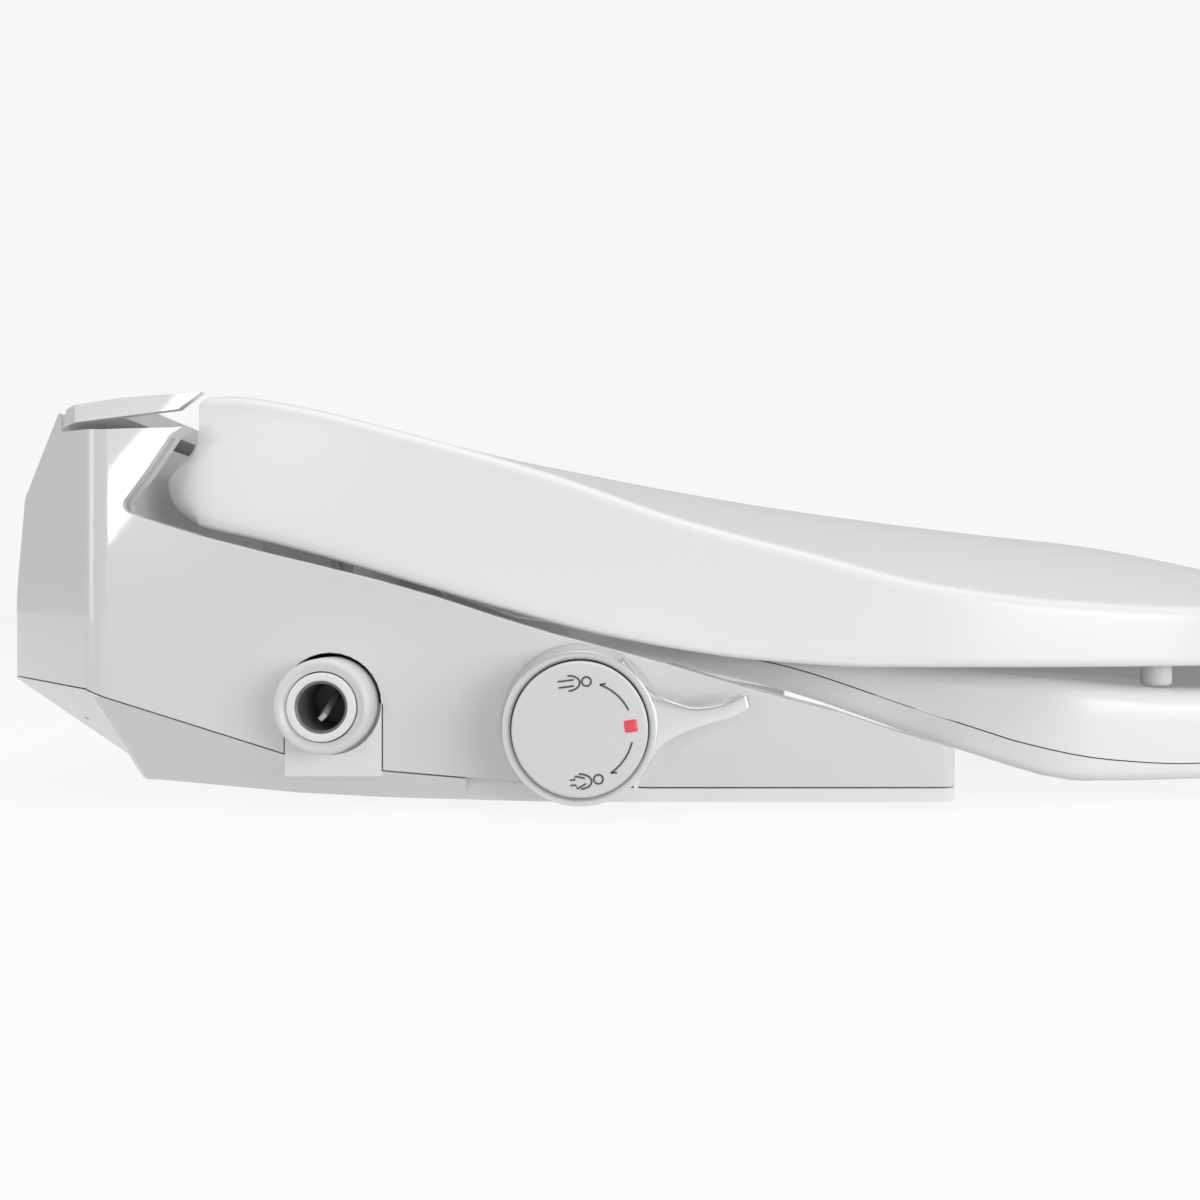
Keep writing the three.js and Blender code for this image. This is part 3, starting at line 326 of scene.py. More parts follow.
def new_finish(name, base, roughness, metallic=0.0, coat=0.0, coat_roughness=0.03, ior=1.5):
    """Material with a principled shader, and the object's own coordinates to draw patterns on."""
    finish = bpy.data.materials.new(name)
    finish.use_nodes = True
    tree = finish.node_tree
    shader = tree.nodes["Principled BSDF"]
    shader.inputs["Base Color"].default_value = (*base, 1)
    shader.inputs["Roughness"].default_value = roughness
    shader.inputs["Metallic"].default_value = metallic
    shader.inputs["Coat Weight"].default_value = coat
    shader.inputs["Coat Roughness"].default_value = coat_roughness
    shader.inputs["IOR"].default_value = ior
    place = node_in(tree, "ShaderNodeTexCoord", -1400, 0).outputs["Object"]
    return finish, tree, shader, place


def between(tree, factor, low, high, x, y):
    """Number that goes from low to high with a factor from 0 to 1."""
    spread = node_in(tree, "ShaderNodeMapRange", x, y, To_Min=low, To_Max=high)
    tree.links.new(factor, spread.inputs["Value"])
    return spread.outputs["Result"]


def vary(tree, shader, place, base, tone, roughness, scale):
    """Slow change of tone and roughness over the surface, as a moulding has."""
    cloud = node_in(tree, "ShaderNodeTexNoise", -1100, 200, Scale=scale, Detail=3.0, Roughness=0.5)
    tree.links.new(place, cloud.inputs["Vector"])
    mix = node_in(tree, "ShaderNodeMix", -500, 260, data_type="RGBA")
    mix.inputs[COLOUR_A].default_value = (*[c * (1 - tone) for c in base], 1)
    mix.inputs[COLOUR_B].default_value = (*[min(1.0, c * (1 + tone)) for c in base], 1)
    tree.links.new(cloud.outputs["Fac"], mix.inputs[FACTOR])
    tree.links.new(mix.outputs[COLOUR_OUT], shader.inputs["Base Color"])
    tree.links.new(between(tree, cloud.outputs["Fac"], *roughness, -500, 40), shader.inputs["Roughness"])


def bump(tree, shader, place, scale, strength, distance):
    """Fine unevenness: orange peel on gloss, grain on matt plastic and rubber."""
    grain = node_in(tree, "ShaderNodeTexNoise", -1100, -300, Scale=scale, Detail=2.0, Roughness=0.55)
    tree.links.new(place, grain.inputs["Vector"])
    relief = node_in(tree, "ShaderNodeBump", -300, -300, Strength=strength, Distance=distance)
    tree.links.new(grain.outputs["Fac"], relief.inputs["Height"])
    tree.links.new(relief.outputs["Normal"], shader.inputs["Normal"])


def moulded(name, base, roughness, tone, grain, depth, coat=0.0, cloud=9.0):
    """Moulded plastic or rubber: a slow tone, a fine grain, and a clear skin where it is polished."""
    finish, tree, shader, place = new_finish(name, base, sum(roughness) / 2, coat=coat)
    vary(tree, shader, place, base, tone, roughness, cloud)
    bump(tree, shader, place, grain, 0.25, depth)
    return finish


def brushed(name, base, roughness, centre=None):
    """Satin metal: brushed in circles about the Y axis through a centre, or in fine lines along X."""
    finish, tree, shader, place = new_finish(name, base, sum(roughness) / 2, metallic=1.0)
    if centre is not None:
        shift = node_in(tree, "ShaderNodeVectorMath", -1200, 0, operation="SUBTRACT")
        shift.inputs[1].default_value = centre
        tree.links.new(place, shift.inputs[0])
        flat = node_in(tree, "ShaderNodeVectorMath", -1050, 0, operation="MULTIPLY")
        flat.inputs[1].default_value = (1, 0, 1)
        tree.links.new(shift.outputs[0], flat.inputs[0])
        radius = node_in(tree, "ShaderNodeVectorMath", -900, 0, operation="LENGTH")
        tree.links.new(flat.outputs[0], radius.inputs[0])
        lines = node_in(tree, "ShaderNodeTexNoise", -700, 0, noise_dimensions="1D", Scale=5200.0, Detail=3.0)
        tree.links.new(radius.outputs["Value"], lines.inputs["W"])
    else:
        stretch = node_in(tree, "ShaderNodeMapping", -1100, 0, Scale=(60.0, 2600.0, 2600.0))
        tree.links.new(place, stretch.inputs["Vector"])
        lines = node_in(tree, "ShaderNodeTexNoise", -700, 0, Scale=1.0, Detail=3.0)
        tree.links.new(stretch.outputs["Vector"], lines.inputs["Vector"])
    tree.links.new(between(tree, lines.outputs["Fac"], *roughness, -400, 100), shader.inputs["Roughness"])
    relief = node_in(tree, "ShaderNodeBump", -300, -300, Strength=0.12, Distance=0.00002)
    tree.links.new(lines.outputs["Fac"], relief.inputs["Height"])
    tree.links.new(relief.outputs["Normal"], shader.inputs["Normal"])
    return finish


# name: colour, roughness range, change of tone, grain's scale, grain's depth, clear skin
MOULDED = {
    "gloss_white": ("gloss_white", (0.17, 0.23), 0.006, 160, 0.00004, 0.9),
    # Painted shade: the housing's white is a darker copy of the lid's white, standing in for shade on the
    # housing
    "cover_white": ("cover_white", (0.2, 0.27), 0.006, 190, 0.00004, 0.5),
    # Painted shade: the knob cap and inlet collar take the same darkened white, with a rougher surface
    "cap_white": ("cover_white", (0.26, 0.34), 0.005, 900, 0.00001, 0.1),
    "satin_white": ("satin_white", (0.26, 0.34), 0.008, 420, 0.00003, 0.1),
    "nozzle_white": ("gloss_white", (0.2, 0.28), 0.01, 500, 0.00002, 0.2),
    "inner_plastic": ("inner_plastic", (0.42, 0.55), 0.02, 1400, 0.00005, 0.0),
    "grey_plastic": ("grey_plastic", (0.3, 0.42), 0.03, 1100, 0.00004, 0.0),
    "bumper_rubber": ("bumper", (0.65, 0.8), 0.03, 1600, 0.00006, 0.0),
    "bore_grey": ("bore_grey", (0.3, 0.42), 0.03, 1100, 0.00003, 0.0),
    "dark_rubber": ("dark_rubber", (0.55, 0.75), 0.15, 1600, 0.00006, 0.0),
    "hose": ("hose", (0.34, 0.46), 0.02, 700, 0.00003, 0.0),
    "ceramic_disc": ("ceramic", (0.1, 0.2), 0.01, 2400, 0.00001, 0.0),
    "mark_red": ("mark_red", (0.3, 0.4), 0.02, 900, 0.00001, 0.0),
    "ink": ("ink", (0.4, 0.55), 0.05, 2400, 0.00001, 0.0),
}

# name: colour, roughness range, centre of round brushing
BRUSHED = {
    "lever_silver": ("silver", (0.24, 0.4), tuple(KNOB)),
    # Painted highlight: the blade's lighter silver stands in for the light on its top
    "blade_silver": ("blade", (0.22, 0.34), None),
    "pin_steel": ("steel", (0.2, 0.36), None),
}


def build_finish(name):
    """Material of a finish's name, from the colours."""
    if name in MOULDED:
        field, *values = MOULDED[name]
        return moulded(name, tuple(getattr(colours(), field)), *values)
    field, roughness, centre = BRUSHED[name]
    return brushed(name, tuple(getattr(colours(), field)), roughness, centre)


def material(name):
    return bpy.data.materials.get(name) or build_finish(name)


# ---------- lid ----------

LID_WIDEST_X = 0.230
LID_CORNER = 0.014
LID_BULGE = 0.006
NOTCH_Z = 0.112
FILLET_TURN = np.radians(76)
REAR_LEAN = curve((0, 12), (3, 9), (8, 4.8), (16.5, 1.7), (32, 0), (60, 9.8), (90, 18.5), (100, 21))


def lid_plan(inset):
    """Loop of the lid's plan, drawn in by an inset, and how much each point faces the rear.

    Straight rear edge, round corners, sides bulging as a square of the distance from the widest place, and a
    superellipse in front: x = widest + reach * sin(t)^(2/2.3), y = half width * cos(t)^(2/2.2).
    """
    half_width = LID_HIGH[1] - inset
    rear, front = LID_LOW[0] + inset, LID_HIGH[0] - inset
    rear_y = half_width - LID_BULGE
    turn = np.linspace(0, np.pi / 2, 9)
    straight_y = np.concatenate([np.linspace(0, 0.160, 14), np.linspace(0.1615, rear_y - LID_CORNER, 9)])
    side_x = np.linspace(rear + LID_CORNER, LID_WIDEST_X, 50)[1:]
    t = np.linspace(0, np.pi / 2, 60)[1:]
    x = np.concatenate([np.full(len(straight_y), rear), rear + LID_CORNER * (1 - np.cos(turn[1:])),
                        side_x,
                        LID_WIDEST_X + (front - LID_WIDEST_X) * np.sin(t) ** (2 / 2.3)])
    y = np.concatenate([straight_y, rear_y - LID_CORNER + LID_CORNER * np.sin(turn[1:]),
                        half_width - LID_BULGE * ((LID_WIDEST_X - side_x) / LID_WIDEST_X) ** 2,
                        half_width * np.cos(t).clip(0) ** (2 / 2.2)])
    y[-1] = 0.0
    facing = np.concatenate([np.ones(len(straight_y)), np.cos(turn[1:]), np.zeros(len(side_x) + len(t))])
    both = lambda row, sign: np.concatenate([row, sign * row[-2:0:-1]])
    return both(x, 1), both(-y, -1), both(facing, 1)


def lid_row(inset, z_of):
    """One ring of the lid: its plan at an inset, its height from z_of(x, y), its rear wall leaned."""
    x, y, facing = lid_plan(inset)
    low, high = LID_BOTTOM(LID_LOW[0]), LID_CREST(LID_LOW[0])
    share = np.clip((z_of(x, y) - low) / (high - low), 0, 1)
    leaned = x + facing * REAR_LEAN(share * 0.1)
    return np.stack([leaned, y, z_of(leaned, y)], axis=-1)


def lid_edge_z(x, y):
    """Height of the lid's lower edge, lifted over the hinge along the rear."""
    lift = (1 - smoothstep(np.abs(y), 0.1645, 0.1672)) * (x < 0.012)
    return LID_BOTTOM(x) + lift * (NOTCH_Z - LID_BOTTOM(x))


def lid_skin(wall, crest, edge):
    """Rows of the lid's outer (wall 0) or inner skin, from the lower edge to the middle of the dome.

    Up the side, round the crest, then inwards: y shrinks to nothing while z rises as a sine to the crown.
    """
    top = lambda x: LID_CREST(x) - wall
    drop = crest * np.sin(FILLET_TURN)
    rows = [lid_row(wall, lambda x, y, v=v: (1 - v) * (lid_edge_z(x, y) + edge) + v * (top(x) - drop))
            for v in np.linspace(0, 1, 15)]
    rows += [lid_row(wall + crest * (1 - np.cos(a)), lambda x, y, a=a: top(x) - drop + crest * np.sin(a))
             for a in np.linspace(0, FILLET_TURN, 8)[1:]]
    rim = rows[-1]
    for share in np.linspace(0, 1, 34)[1:]:
        x = rim[:, 0] + share * (np.clip(rim[:, 0], 0.030, LID_HIGH[0] - 0.130) - rim[:, 0])
        rise = np.sin(share * np.pi / 2)
        z = rim[:, 2] + rise * (LID_CROWN(x) - wall - rim[:, 2])
        rows.append(np.stack([x, rim[:, 1] * (1 - share), z], axis=-1))
    return rows


def build_lid():
    wall = sizes().lid_wall
    radius = wall / 2
    edge = [lid_row(radius * (1 - np.cos(a)), lambda x, y, a=a: lid_edge_z(x, y) + radius * (1 - np.sin(a)))
            for a in np.linspace(np.pi, 0, 7)[1:-1]]
    outer = lid_skin(0.0, sizes().lid_crest, radius)
    inner = lid_skin(wall, max(sizes().lid_crest - wall, 0.001), radius)
    grid = np.stack(inner[::-1] + edge + outer)
    placed(surface("lid", grid, flat_angle=50), "lid_shell")


def build_lid_fittings():
    for label, side in SIDES:
        low, high = corners(f"lid_bush_{label}")
        eye = arc(HINGE[[0, 2]], 0.0108, 178, 362, 20)
        head = [[HINGE[0] + 0.016, 0.1245], [HINGE[0] - 0.012, 0.1270]]
        lug = slab(f"lid_lug_{label}", np.vstack([eye, head]), low[1], high[1], 0.0008)
        placed(lug, body="lid", slot="gloss_white")
        bumper_low, bumper_high = corners(f"lid_bumper_{label}")
        x, y = (bumper_low + bumper_high)[:2] / 2
        z = bumper_high[2]
        rest_top = z + 0.006
        seat = [[0, z + 0.0004], [0.0076, z + 0.0004], [0.008, z + 0.0008], [0.008, rest_top], [0, rest_top]]
        placed(turned(f"lid_rest_{label}", seat, (x, y, 0), "z", 48), body="lid", slot="gloss_white")
        web = [[x - 0.006, z + 0.0008], [x + 0.006, z + 0.0008], [x + 0.006, rest_top], [x - 0.006, rest_top]]
        ends = sorted([y, y + side * 0.0090])
        placed(slab(f"lid_rest_web_{label}", web, *ends, 0.0004), body="lid", slot="gloss_white")
        foot = np.vstack([[[0, bumper_low[2]]], arc((0.0035, bumper_low[2] + 0.0015), 0.0015, -90, 0),
                          [[0.005, z], [0, z]]])
        placed(turned(f"lid_pad_{label}", foot, (x, y, 0), "z", 40), f"lid_bumper_{label}")


# ---------- seat ----------

OPENING_HALF_WIDTH = 0.106
OPENING_REAR_X = 0.124
OPENING_FRONT_X = 0.390
SEAT_REAR_X = 0.080
SEAT_HALF_WIDTH = 0.182
SEAM_GAP = 0.0002


def seat_loop(share, draw):
    """Plan ring of the seat: share 0 is the outer edge, 1 the opening's, and draw moves both into the wall.

    Both edges are superellipses, the outer one squarer behind and a tenth narrower over the hinge.
    """
    t = np.linspace(0, 2 * np.pi, 200, endpoint=False)
    power = 2 / np.where(np.cos(t) < 0, 3.2, 2.3)
    middle_x = (SEAT_REAR_X + SEAT_HIGH[0]) / 2
    reach = (SEAT_HIGH[0] - SEAT_REAR_X) / 2 - draw
    outer_x = middle_x + reach * signed_power(np.cos(t), power)
    narrow = 1 - 0.1 * smoothstep(0.290 - outer_x, 0, 0.065)
    outer_y = (SEAT_HALF_WIDTH - draw) * signed_power(np.sin(t), 2 / 2.3) * narrow
    hole_middle = (OPENING_REAR_X + OPENING_FRONT_X) / 2
    hole_reach = (OPENING_FRONT_X - OPENING_REAR_X) / 2 + draw
    hole_x = hole_middle + hole_reach * signed_power(np.cos(t), 2 / 2.2)
    hole_y = (OPENING_HALF_WIDTH + draw) * signed_power(np.sin(t), 2 / 2.2)
    return outer_x + share * (hole_x - outer_x), outer_y + share * (hole_y - outer_y)


def seat_row(share, draw, z_of):
    x, y = seat_loop(share, draw)
    return np.stack([x, y, z_of(x)], axis=-1)


def seat_top_skin(wall, edge):
    """Rows over the seat's top: up the side, round the edge, down the dish by a square, into the opening."""
    dish, inner_edge = 0.008, 0.005
    rim = lambda x: np.minimum(SEAT_SEAM(x) + SEAM_GAP, SEAT_TOP(x) - 0.015)
    top = lambda x: SEAT_TOP(x) - wall
    rows = [seat_row(0, wall, lambda x, v=v: (1 - v) * (SEAT_SEAM(x) + SEAM_GAP) + v * (top(x) - edge * 0.9))
            for v in np.linspace(0, 1, 5)]
    rows += [seat_row(0, wall + edge * (1 - np.cos(a)), lambda x, a=a: top(x) - edge * 0.9 * (1 - np.sin(a)))
             for a in np.linspace(0, np.pi / 2, 9)[1:]]
    rows += [seat_row(s, wall + edge + s * (inner_edge - edge), lambda x, s=s: top(x) - dish * s * s)
             for s in np.linspace(0, 1, 20)[1:]]
    rows += [seat_row(1, wall + inner_edge * (1 - np.sin(a)),
                      lambda x, a=a: top(x) - dish - inner_edge * (1 - np.cos(a)))
             for a in np.linspace(0, np.pi / 2, 7)[1:]]
    rows += [seat_row(1, wall, lambda x, v=v: (1 - v) * (top(x) - dish - inner_edge) + v * rim(x))
             for v in (0.5, 1.0)]
    return rows


def build_seat_top():
    wall, edge = sizes().seat_wall, sizes().seat_edge
    grid = np.stack(seat_top_skin(0.0, edge) + seat_top_skin(wall, edge - wall)[::-1])
    placed(surface("seat_top", grid, wrap_rows=True, flat_angle=50), "seat_top_shell")
    for label, _ in SIDES:
        low, high = corners(f"seat_bush_{label}")
        bend, join = SEAT_REAR_X + 0.020, SEAT_REAR_X + 0.056
        eye = arc(HINGE[[0, 2]], 0.0108, 49, 229, 20)
        leg = [[bend, SEAT_SEAM(bend)], [join, SEAT_SEAM(join) + 0.0015], [join, SEAT_TOP(join) - 0.0035],
               [bend, SEAT_TOP(bend) + 0.001]]
        placed(slab(f"seat_ear_{label}", np.vstack([eye, leg]), low[1], high[1], 0.0015), body="seat",
               slot="gloss_white")


def build_seat_bottom():
    """Shell under the seat: down the side from the seam, round the edge, across, and up in the opening."""
    wall, edge = sizes().seat_wall, 0.003

    def skin(wall):
        seam = lambda x: SEAT_SEAM(x) - SEAM_GAP
        rim = lambda x: np.minimum(seam(x), SEAT_TOP(x) - 0.0158)
        low = lambda x: SEAT_BOTTOM(x) + wall
        hole_low = lambda x: np.minimum(low(x), rim(x) - 0.003)
        radius = max(edge - wall, 0.0004)
        side_low = lambda x: np.minimum(low(x) + radius, seam(x) - 1e-4)
        rows = [seat_row(0, wall, lambda x, v=v: (1 - v) * seam(x) + v * side_low(x))
                for v in np.linspace(0, 1, 5)]
        rows += [seat_row(0, wall + radius * (1 - np.cos(a)),
                          lambda x, a=a: np.minimum(low(x) + radius * (1 - np.sin(a)), seam(x) - 1.5e-4))
                 for a in np.linspace(0, np.pi / 2, 6)[1:]]
        rows += [seat_row(s, wall + radius, lambda x, s=s: low(x) + s * s * (hole_low(x) - low(x)))
                 for s in np.linspace(0, 1, 14)[1:]]
        rows += [seat_row(1, wall + radius * (1 - np.sin(a)),
                          lambda x, a=a: hole_low(x) + radius * (1 - np.cos(a)) * 0.5)
                 for a in np.linspace(0, np.pi / 2, 5)[1:]]
        rows.append(seat_row(1, wall, rim))
        return rows

    grid = np.stack(skin(0.0) + skin(wall)[::-1])
    placed(surface("seat_bottom", grid, wrap_rows=True, flat_angle=50), "seat_bottom_shell")


def build_seat_bumpers():
    for label, _ in SIDES:
        for place in ("mid", "front"):
            node = f"seat_bumper_{place}_{label}"
            low, high = corners(node)
            radius = (high[0] - low[0]) / 2
            foot = np.vstack([[[0, 0]], arc((radius - 0.002, 0.002), 0.002, -90, 0),
                              [[radius, high[2]], [0, high[2]]]])
            centre = ((low[0] + high[0]) / 2, (low[1] + high[1]) / 2, 0)
            placed(turned(f"{node}_foot", foot, centre, "z", 56), node)


# ---------- housing ----------

def build_housing():
    edge = sizes().cover_edge
    # The cover and ridge take the darker white that paints shade on the housing
    rounded_copy("main_cover", edge, finish="cover_white")
    rounded_copy("rear_ridge_cover", edge, finish="cover_white")
    rounded_copy("base_chassis", edge * 0.5)


# ---------- control lever ----------

CAP_FACE_Y = corners("knob_cap")[0][1]
RING_RADIUS = 0.0232
LEVER_TOP = curve((10, 24), (15.5, 18.2), (19.5, 13.3), (23.5, 10.2), (29.2, 7.9), (34.6, 6.6), (40.9, 7.3),
                  (49.4, 10.8), (54, 12.4))
LEVER_UNDER = curve((14, -24), (19.5, -13.7), (21.5, -10.3), (24, -6.6), (27.5, -3.8), (32.9, -1.2),
                    (39.4, 1.1), (44.6, 2.5), (50.7, 5.3), (56, 8.5))


def build_lever_ring():
    back, front = ARM_FACE_Y - 0.0006, corners("control_lever")[0][1]
    cap_radius = corners("knob_cap")[1][0] - KNOB[0]
    bore = cap_radius + 0.0005
    turn = np.linspace(0, np.pi / 2, 8)
    skirt = np.stack([RING_RADIUS + 0.0014 * np.cos(turn), np.linspace(back, back - 0.007, 8)], axis=-1)
    lip = arc((RING_RADIUS - 0.0006, front + 0.0006), 0.0006, 0, -90)
    profile = np.vstack([[[0.0048, back]], skirt, lip, [[RING_RADIUS - 0.0014, front]],
                         arc((RING_RADIUS - 0.0014, front + 0.0012), 0.0012, -90, -150, 4),
                         [[bore, front + 0.0012], [bore, back - 0.008], [0, back - 0.008]]])
    centre = (KNOB[0], 0, KNOB[2])
    placed(turned("lever_ring", profile, centre, "y", 160), "control_lever", finish="lever_silver")


def build_lever_blade():
    """Blade from the ring to its tip: at each step a rounded rectangle between the upper and the lower line.

    Across a section w = cos(a)^(1/3) runs between the lines and d = sin(a)^(1/3) runs along Y; the top
    face is scooped by 1 - d squared; the last steps shrink as a quarter circle to close the tip.
    """
    front, back = corners("control_lever")[0][1] + 0.0022, ARM_FACE_Y - 0.0056
    a = np.linspace(0, 2 * np.pi, 72, endpoint=False)
    w, d = signed_power(np.cos(a), 1 / 3), signed_power(np.sin(a), 1 / 3)
    step = np.linspace(0, 1, 60)
    top_x, under_x = 0.0125 + step * 0.0365, 0.0165 + step * 0.0340
    top = np.stack([top_x, LEVER_TOP(top_x)], axis=-1)
    under = np.stack([under_x, LEVER_UNDER(under_x)], axis=-1)
    close = np.linspace(0, np.pi / 2, 9)[1:]
    shrink = np.concatenate([np.ones(len(step)), np.cos(close)])
    push = np.concatenate([np.zeros(len(step)), np.sin(close)]) * 0.0012
    grow = lambda rows: np.vstack([rows, np.repeat(rows[-1:], len(close), axis=0)])
    top, under = grow(top), grow(under)
    centre, half = (top + under) / 2, (top - under) / 2
    along = np.concatenate([step, np.ones(len(close))])
    depth = (front - back) / 2 * (1 - 0.16 * along)
    round_end = 0.5 + 0.5 * shrink
    scoop = 0.0014 * smoothstep(along, 0.25, 0.75) * shrink
    flat = centre[:, None] + half[:, None] * (round_end[:, None] * w)[..., None]
    flat[..., 0] += push[:, None]
    flat[..., 1] -= scoop[:, None] * np.clip(w, 0, 1) * (1 - d * d)
    reach = np.linalg.norm(flat, axis=-1, keepdims=True)
    flat *= np.maximum(reach, 0.0216) / reach
    y = (front + back) / 2 + depth[:, None] * round_end[:, None] * d
    y += (front - back) / 2 * 0.16 * along[:, None]
    grid = np.stack([KNOB[0] + flat[..., 0], y, KNOB[2] + flat[..., 1]], axis=-1)
    # The blade takes the lighter silver, a painted highlight, in place of its slot's silver
    placed(surface("lever_blade", grid, flat_angle=50), body="lever", slot="lever_silver",
           finish="blade_silver")


def build_cap():
    low, high = corners("knob_cap")
    radius, edge = high[0] - KNOB[0], 0.0009
    profile = np.vstack([[[0, high[1]], [radius, high[1]]],
                         arc((radius - edge, low[1] + edge), edge, 0, -90, 7),
                         [[radius * 0.6, low[1] + 0.00002], [0, low[1] + 0.00004]]])
    # The cap takes the darkened white, painted shade
    placed(turned("lever_cap", profile, (KNOB[0], 0, KNOB[2]), "y", 144), "knob_cap", finish="cap_white")


def stroke(points, closed=False):
    """Raised line on the cap through [x, z] points from the knob's centre: a flat bar across the path."""
    path = np.asarray(points, float) * MM
    if closed:
        ahead = np.roll(path, -1, axis=0) - np.roll(path, 1, axis=0)
    else:
        ahead = np.gradient(path, axis=0)
    ahead /= np.linalg.norm(ahead, axis=1)[:, None]
    side = np.stack([-ahead[:, 1], ahead[:, 0]], axis=-1) * sizes().line_width / 2
    across = np.array([1, 1, -1, -1])
    out = np.array([0.0001, -sizes().mark_depth, -sizes().mark_depth, 0.0001])
    flat = path[:, None] + across[None, :, None] * side[:, None]
    return np.stack([KNOB[0] + flat[..., 0], np.broadcast_to(CAP_FACE_Y + out, flat.shape[:2]),
                     KNOB[2] + flat[..., 1]], axis=-1)


def open_u(start, right, end):
    """Half an oval, open at its left: from start round the point furthest right to end."""
    start, right, end = map(np.array, (start, right, end))
    centre = (start + end) / 2
    t = np.linspace(0, np.pi, 21)[:, None]
    return centre + (start - centre) * np.cos(t) + (right - centre) * np.sin(t)


def build_marks():
    turn = np.linspace(0, 2 * np.pi, 28, endpoint=False)
    ball = np.stack([np.cos(turn), np.sin(turn)], axis=-1) * 1.35
    up, down = np.linspace(22, 66, 20), np.linspace(-13, -54, 20)
    spiral = lambda angle, r0, r1: (np.stack([np.cos(np.radians(angle)), np.sin(np.radians(angle))], axis=-1)
                                    * np.linspace(r0, r1, len(angle))[:, None])
    upper, lower = spiral(up, 15.55, 14.6), spiral(down, 15.87, 15.65)
    lines = {
        "rear_wash_jet_upper": ([[-6.45, 14.2], [-1.8, 14.8]], False),
        "rear_wash_jet_lower": ([[-6.15, 12.4], [-1.7, 13.0]], False),
        "rear_wash_bowl": (open_u((-3.6, 15.95), (0.05, 14.05), (-3.25, 11.45)), False),
        "rear_wash_ball": (ball + (2.0, 14.3), True),
        "front_wash_jet_upper": ([[-2.85, -14.8], [-1.45, -14.7], [-1.35, -13.6], [1.55, -14.25]], False),
        "front_wash_jet_lower": ([[-2.7, -16.35], [-1.1, -16.2], [-0.7, -17.35], [1.85, -15.8]], False),
        "front_wash_bowl": (open_u((-0.25, -13.0), (3.55, -14.95), (0.45, -17.35)), False),
        "front_wash_ball": (ball + (5.55, -14.5), True),
        "turn_up_line": (upper, False),
        "turn_up_barb": ([upper[-1], upper[-1] + (1.8, 0.35)], False),
        "turn_down_line": (lower, False),
        "turn_down_barb": ([lower[-1], lower[-1] + (1.8, 0.15)], False),
    }
    for name, (points, closed) in lines.items():
        mark = surface(name, stroke(points, closed), wrap_rows=closed, flat_angle=40)
        placed(mark, body="lever", slot="dark_rubber", finish="ink")


def build_off_mark():
    """Red tile: a superellipse of power 8, turned by 8 degrees."""
    t = np.linspace(0, 2 * np.pi, 64, endpoint=False)
    tile = np.stack([0.00192 * signed_power(np.cos(t), 0.25), 0.00182 * signed_power(np.sin(t), 0.25)],
                    axis=-1)
    lean = np.radians(8)
    tile = tile @ np.array([[np.cos(lean), np.sin(lean)], [-np.sin(lean), np.cos(lean)]]) + (0.0151, 0.0012)
    rows = [(0.0, 0.0002), (1.0, 0.0002), (1.0, -0.00012), (0.94, -0.0002), (0.0, -0.0002)]
    centre = tile.mean(axis=0)
    grid = np.stack([np.stack([KNOB[0] + (centre + s * (tile - centre))[:, 0], np.full(64, CAP_FACE_Y + out),
                               KNOB[2] + (centre + s * (tile - centre))[:, 1]], axis=-1) for s, out in rows])
    placed(surface("off_tile", grid, flat_angle=40), "off_mark")


# ---------- inlet ----------

def build_inlet():
    centre = (INLET[0], 0, INLET[2])
    low, high = corners("inlet_collar")
    outer, bore = (high[0] - low[0]) / 2, 0.0109
    front = low[1]
    collar = np.vstack([[[bore, high[1]], [outer, high[1]]],
                        arc((outer - 0.0016, front + 0.0016), 0.0016, 0, -90, 8),
                        [[outer - 0.0020, front + 0.0001], [outer - 0.0030, front + 0.0007],
                         [bore, front + 0.0011]]])
    # The collar takes the darkened white, painted shade
    placed(turned("inlet_collar_ring", collar, centre, "y", 120, ring=True), "inlet_collar",
           finish="cap_white")
    low, high = corners("inlet_fitting")
    outer, bore, front = (high[0] - low[0]) / 2, 0.008, low[1]
    pipe = np.vstack([[[bore, high[1]], [outer, high[1]]],
                      arc((outer - 0.0005, front + 0.0005), 0.0005, 0, -90, 5),
                      arc((bore + 0.0005, front + 0.0005), 0.0005, -90, -180, 5)])
    placed(turned("inlet_pipe", pipe, centre, "y", 120, ring=True), "inlet_fitting")
    deep = corners("inlet_strainer")[0][1] - 0.0004
    liner = [[bore - 0.00002, front + 0.0008], [bore - 0.00002, deep], [bore - 0.0008, deep],
             [bore - 0.0008, front + 0.0012]]
    placed(turned("inlet_liner", liner, centre, "y", 96, ring=True), body="housing", slot="dark_rubber",
           finish="bore_grey")
    plug_back, plug_front, plug_radius = deep + 0.0002, deep - 0.001, bore - 0.0009
    plug = [[0, plug_back], [plug_radius, plug_back], [plug_radius, plug_front], [0, plug_front]]
    placed(turned("inlet_valve_seat", plug, centre, "y", 64), body="housing", slot="dark_rubber",
           finish="bore_grey")
    rounded_copy("check_valve_pin", 0.0003)


# ---------- everything else that stays as the frame gives it, with its edges eased ----------

EASED = ("bracket_pad", "mounting_bracket", "release_button", "seat_damper", "lid_damper",
         "flow_regulator", "valve_body", "ceramic_disc_fixed", "ceramic_disc_turning", "valve_spindle",
         "inlet_strainer", "nozzle_carrier", "rear_nozzle", "rear_nozzle_tip", "front_nozzle",
         "front_nozzle_tip", "nozzle_guard", "guard_pin", "spindle_seal", "hinge_pin_right",
         "hinge_pin_left", "seat_bush_right", "seat_bush_left", "lid_bush_right", "lid_bush_left",
         "cover_screw_rear_right", "cover_screw_rear_left", "cover_screw_front_right",
         "cover_screw_front_left")


def build_eased():
    for node in EASED:
        rounded_copy(node, sizes().small_edge, 2)


def build_hoses():
    """Hoses as one skin of the frame's own sides, made round by subdivision."""
    for node in ("supply_hose", "rear_hose", "front_hose"):
        mesh = NODES[node].data.copy()
        piece = finished(f"{node}_tube", mesh, 60)
        rounding = piece.modifiers.new("Round", "SUBSURF")
        rounding.levels = rounding.render_levels = 2
        placed(piece, node)


# ---------- stage ----------

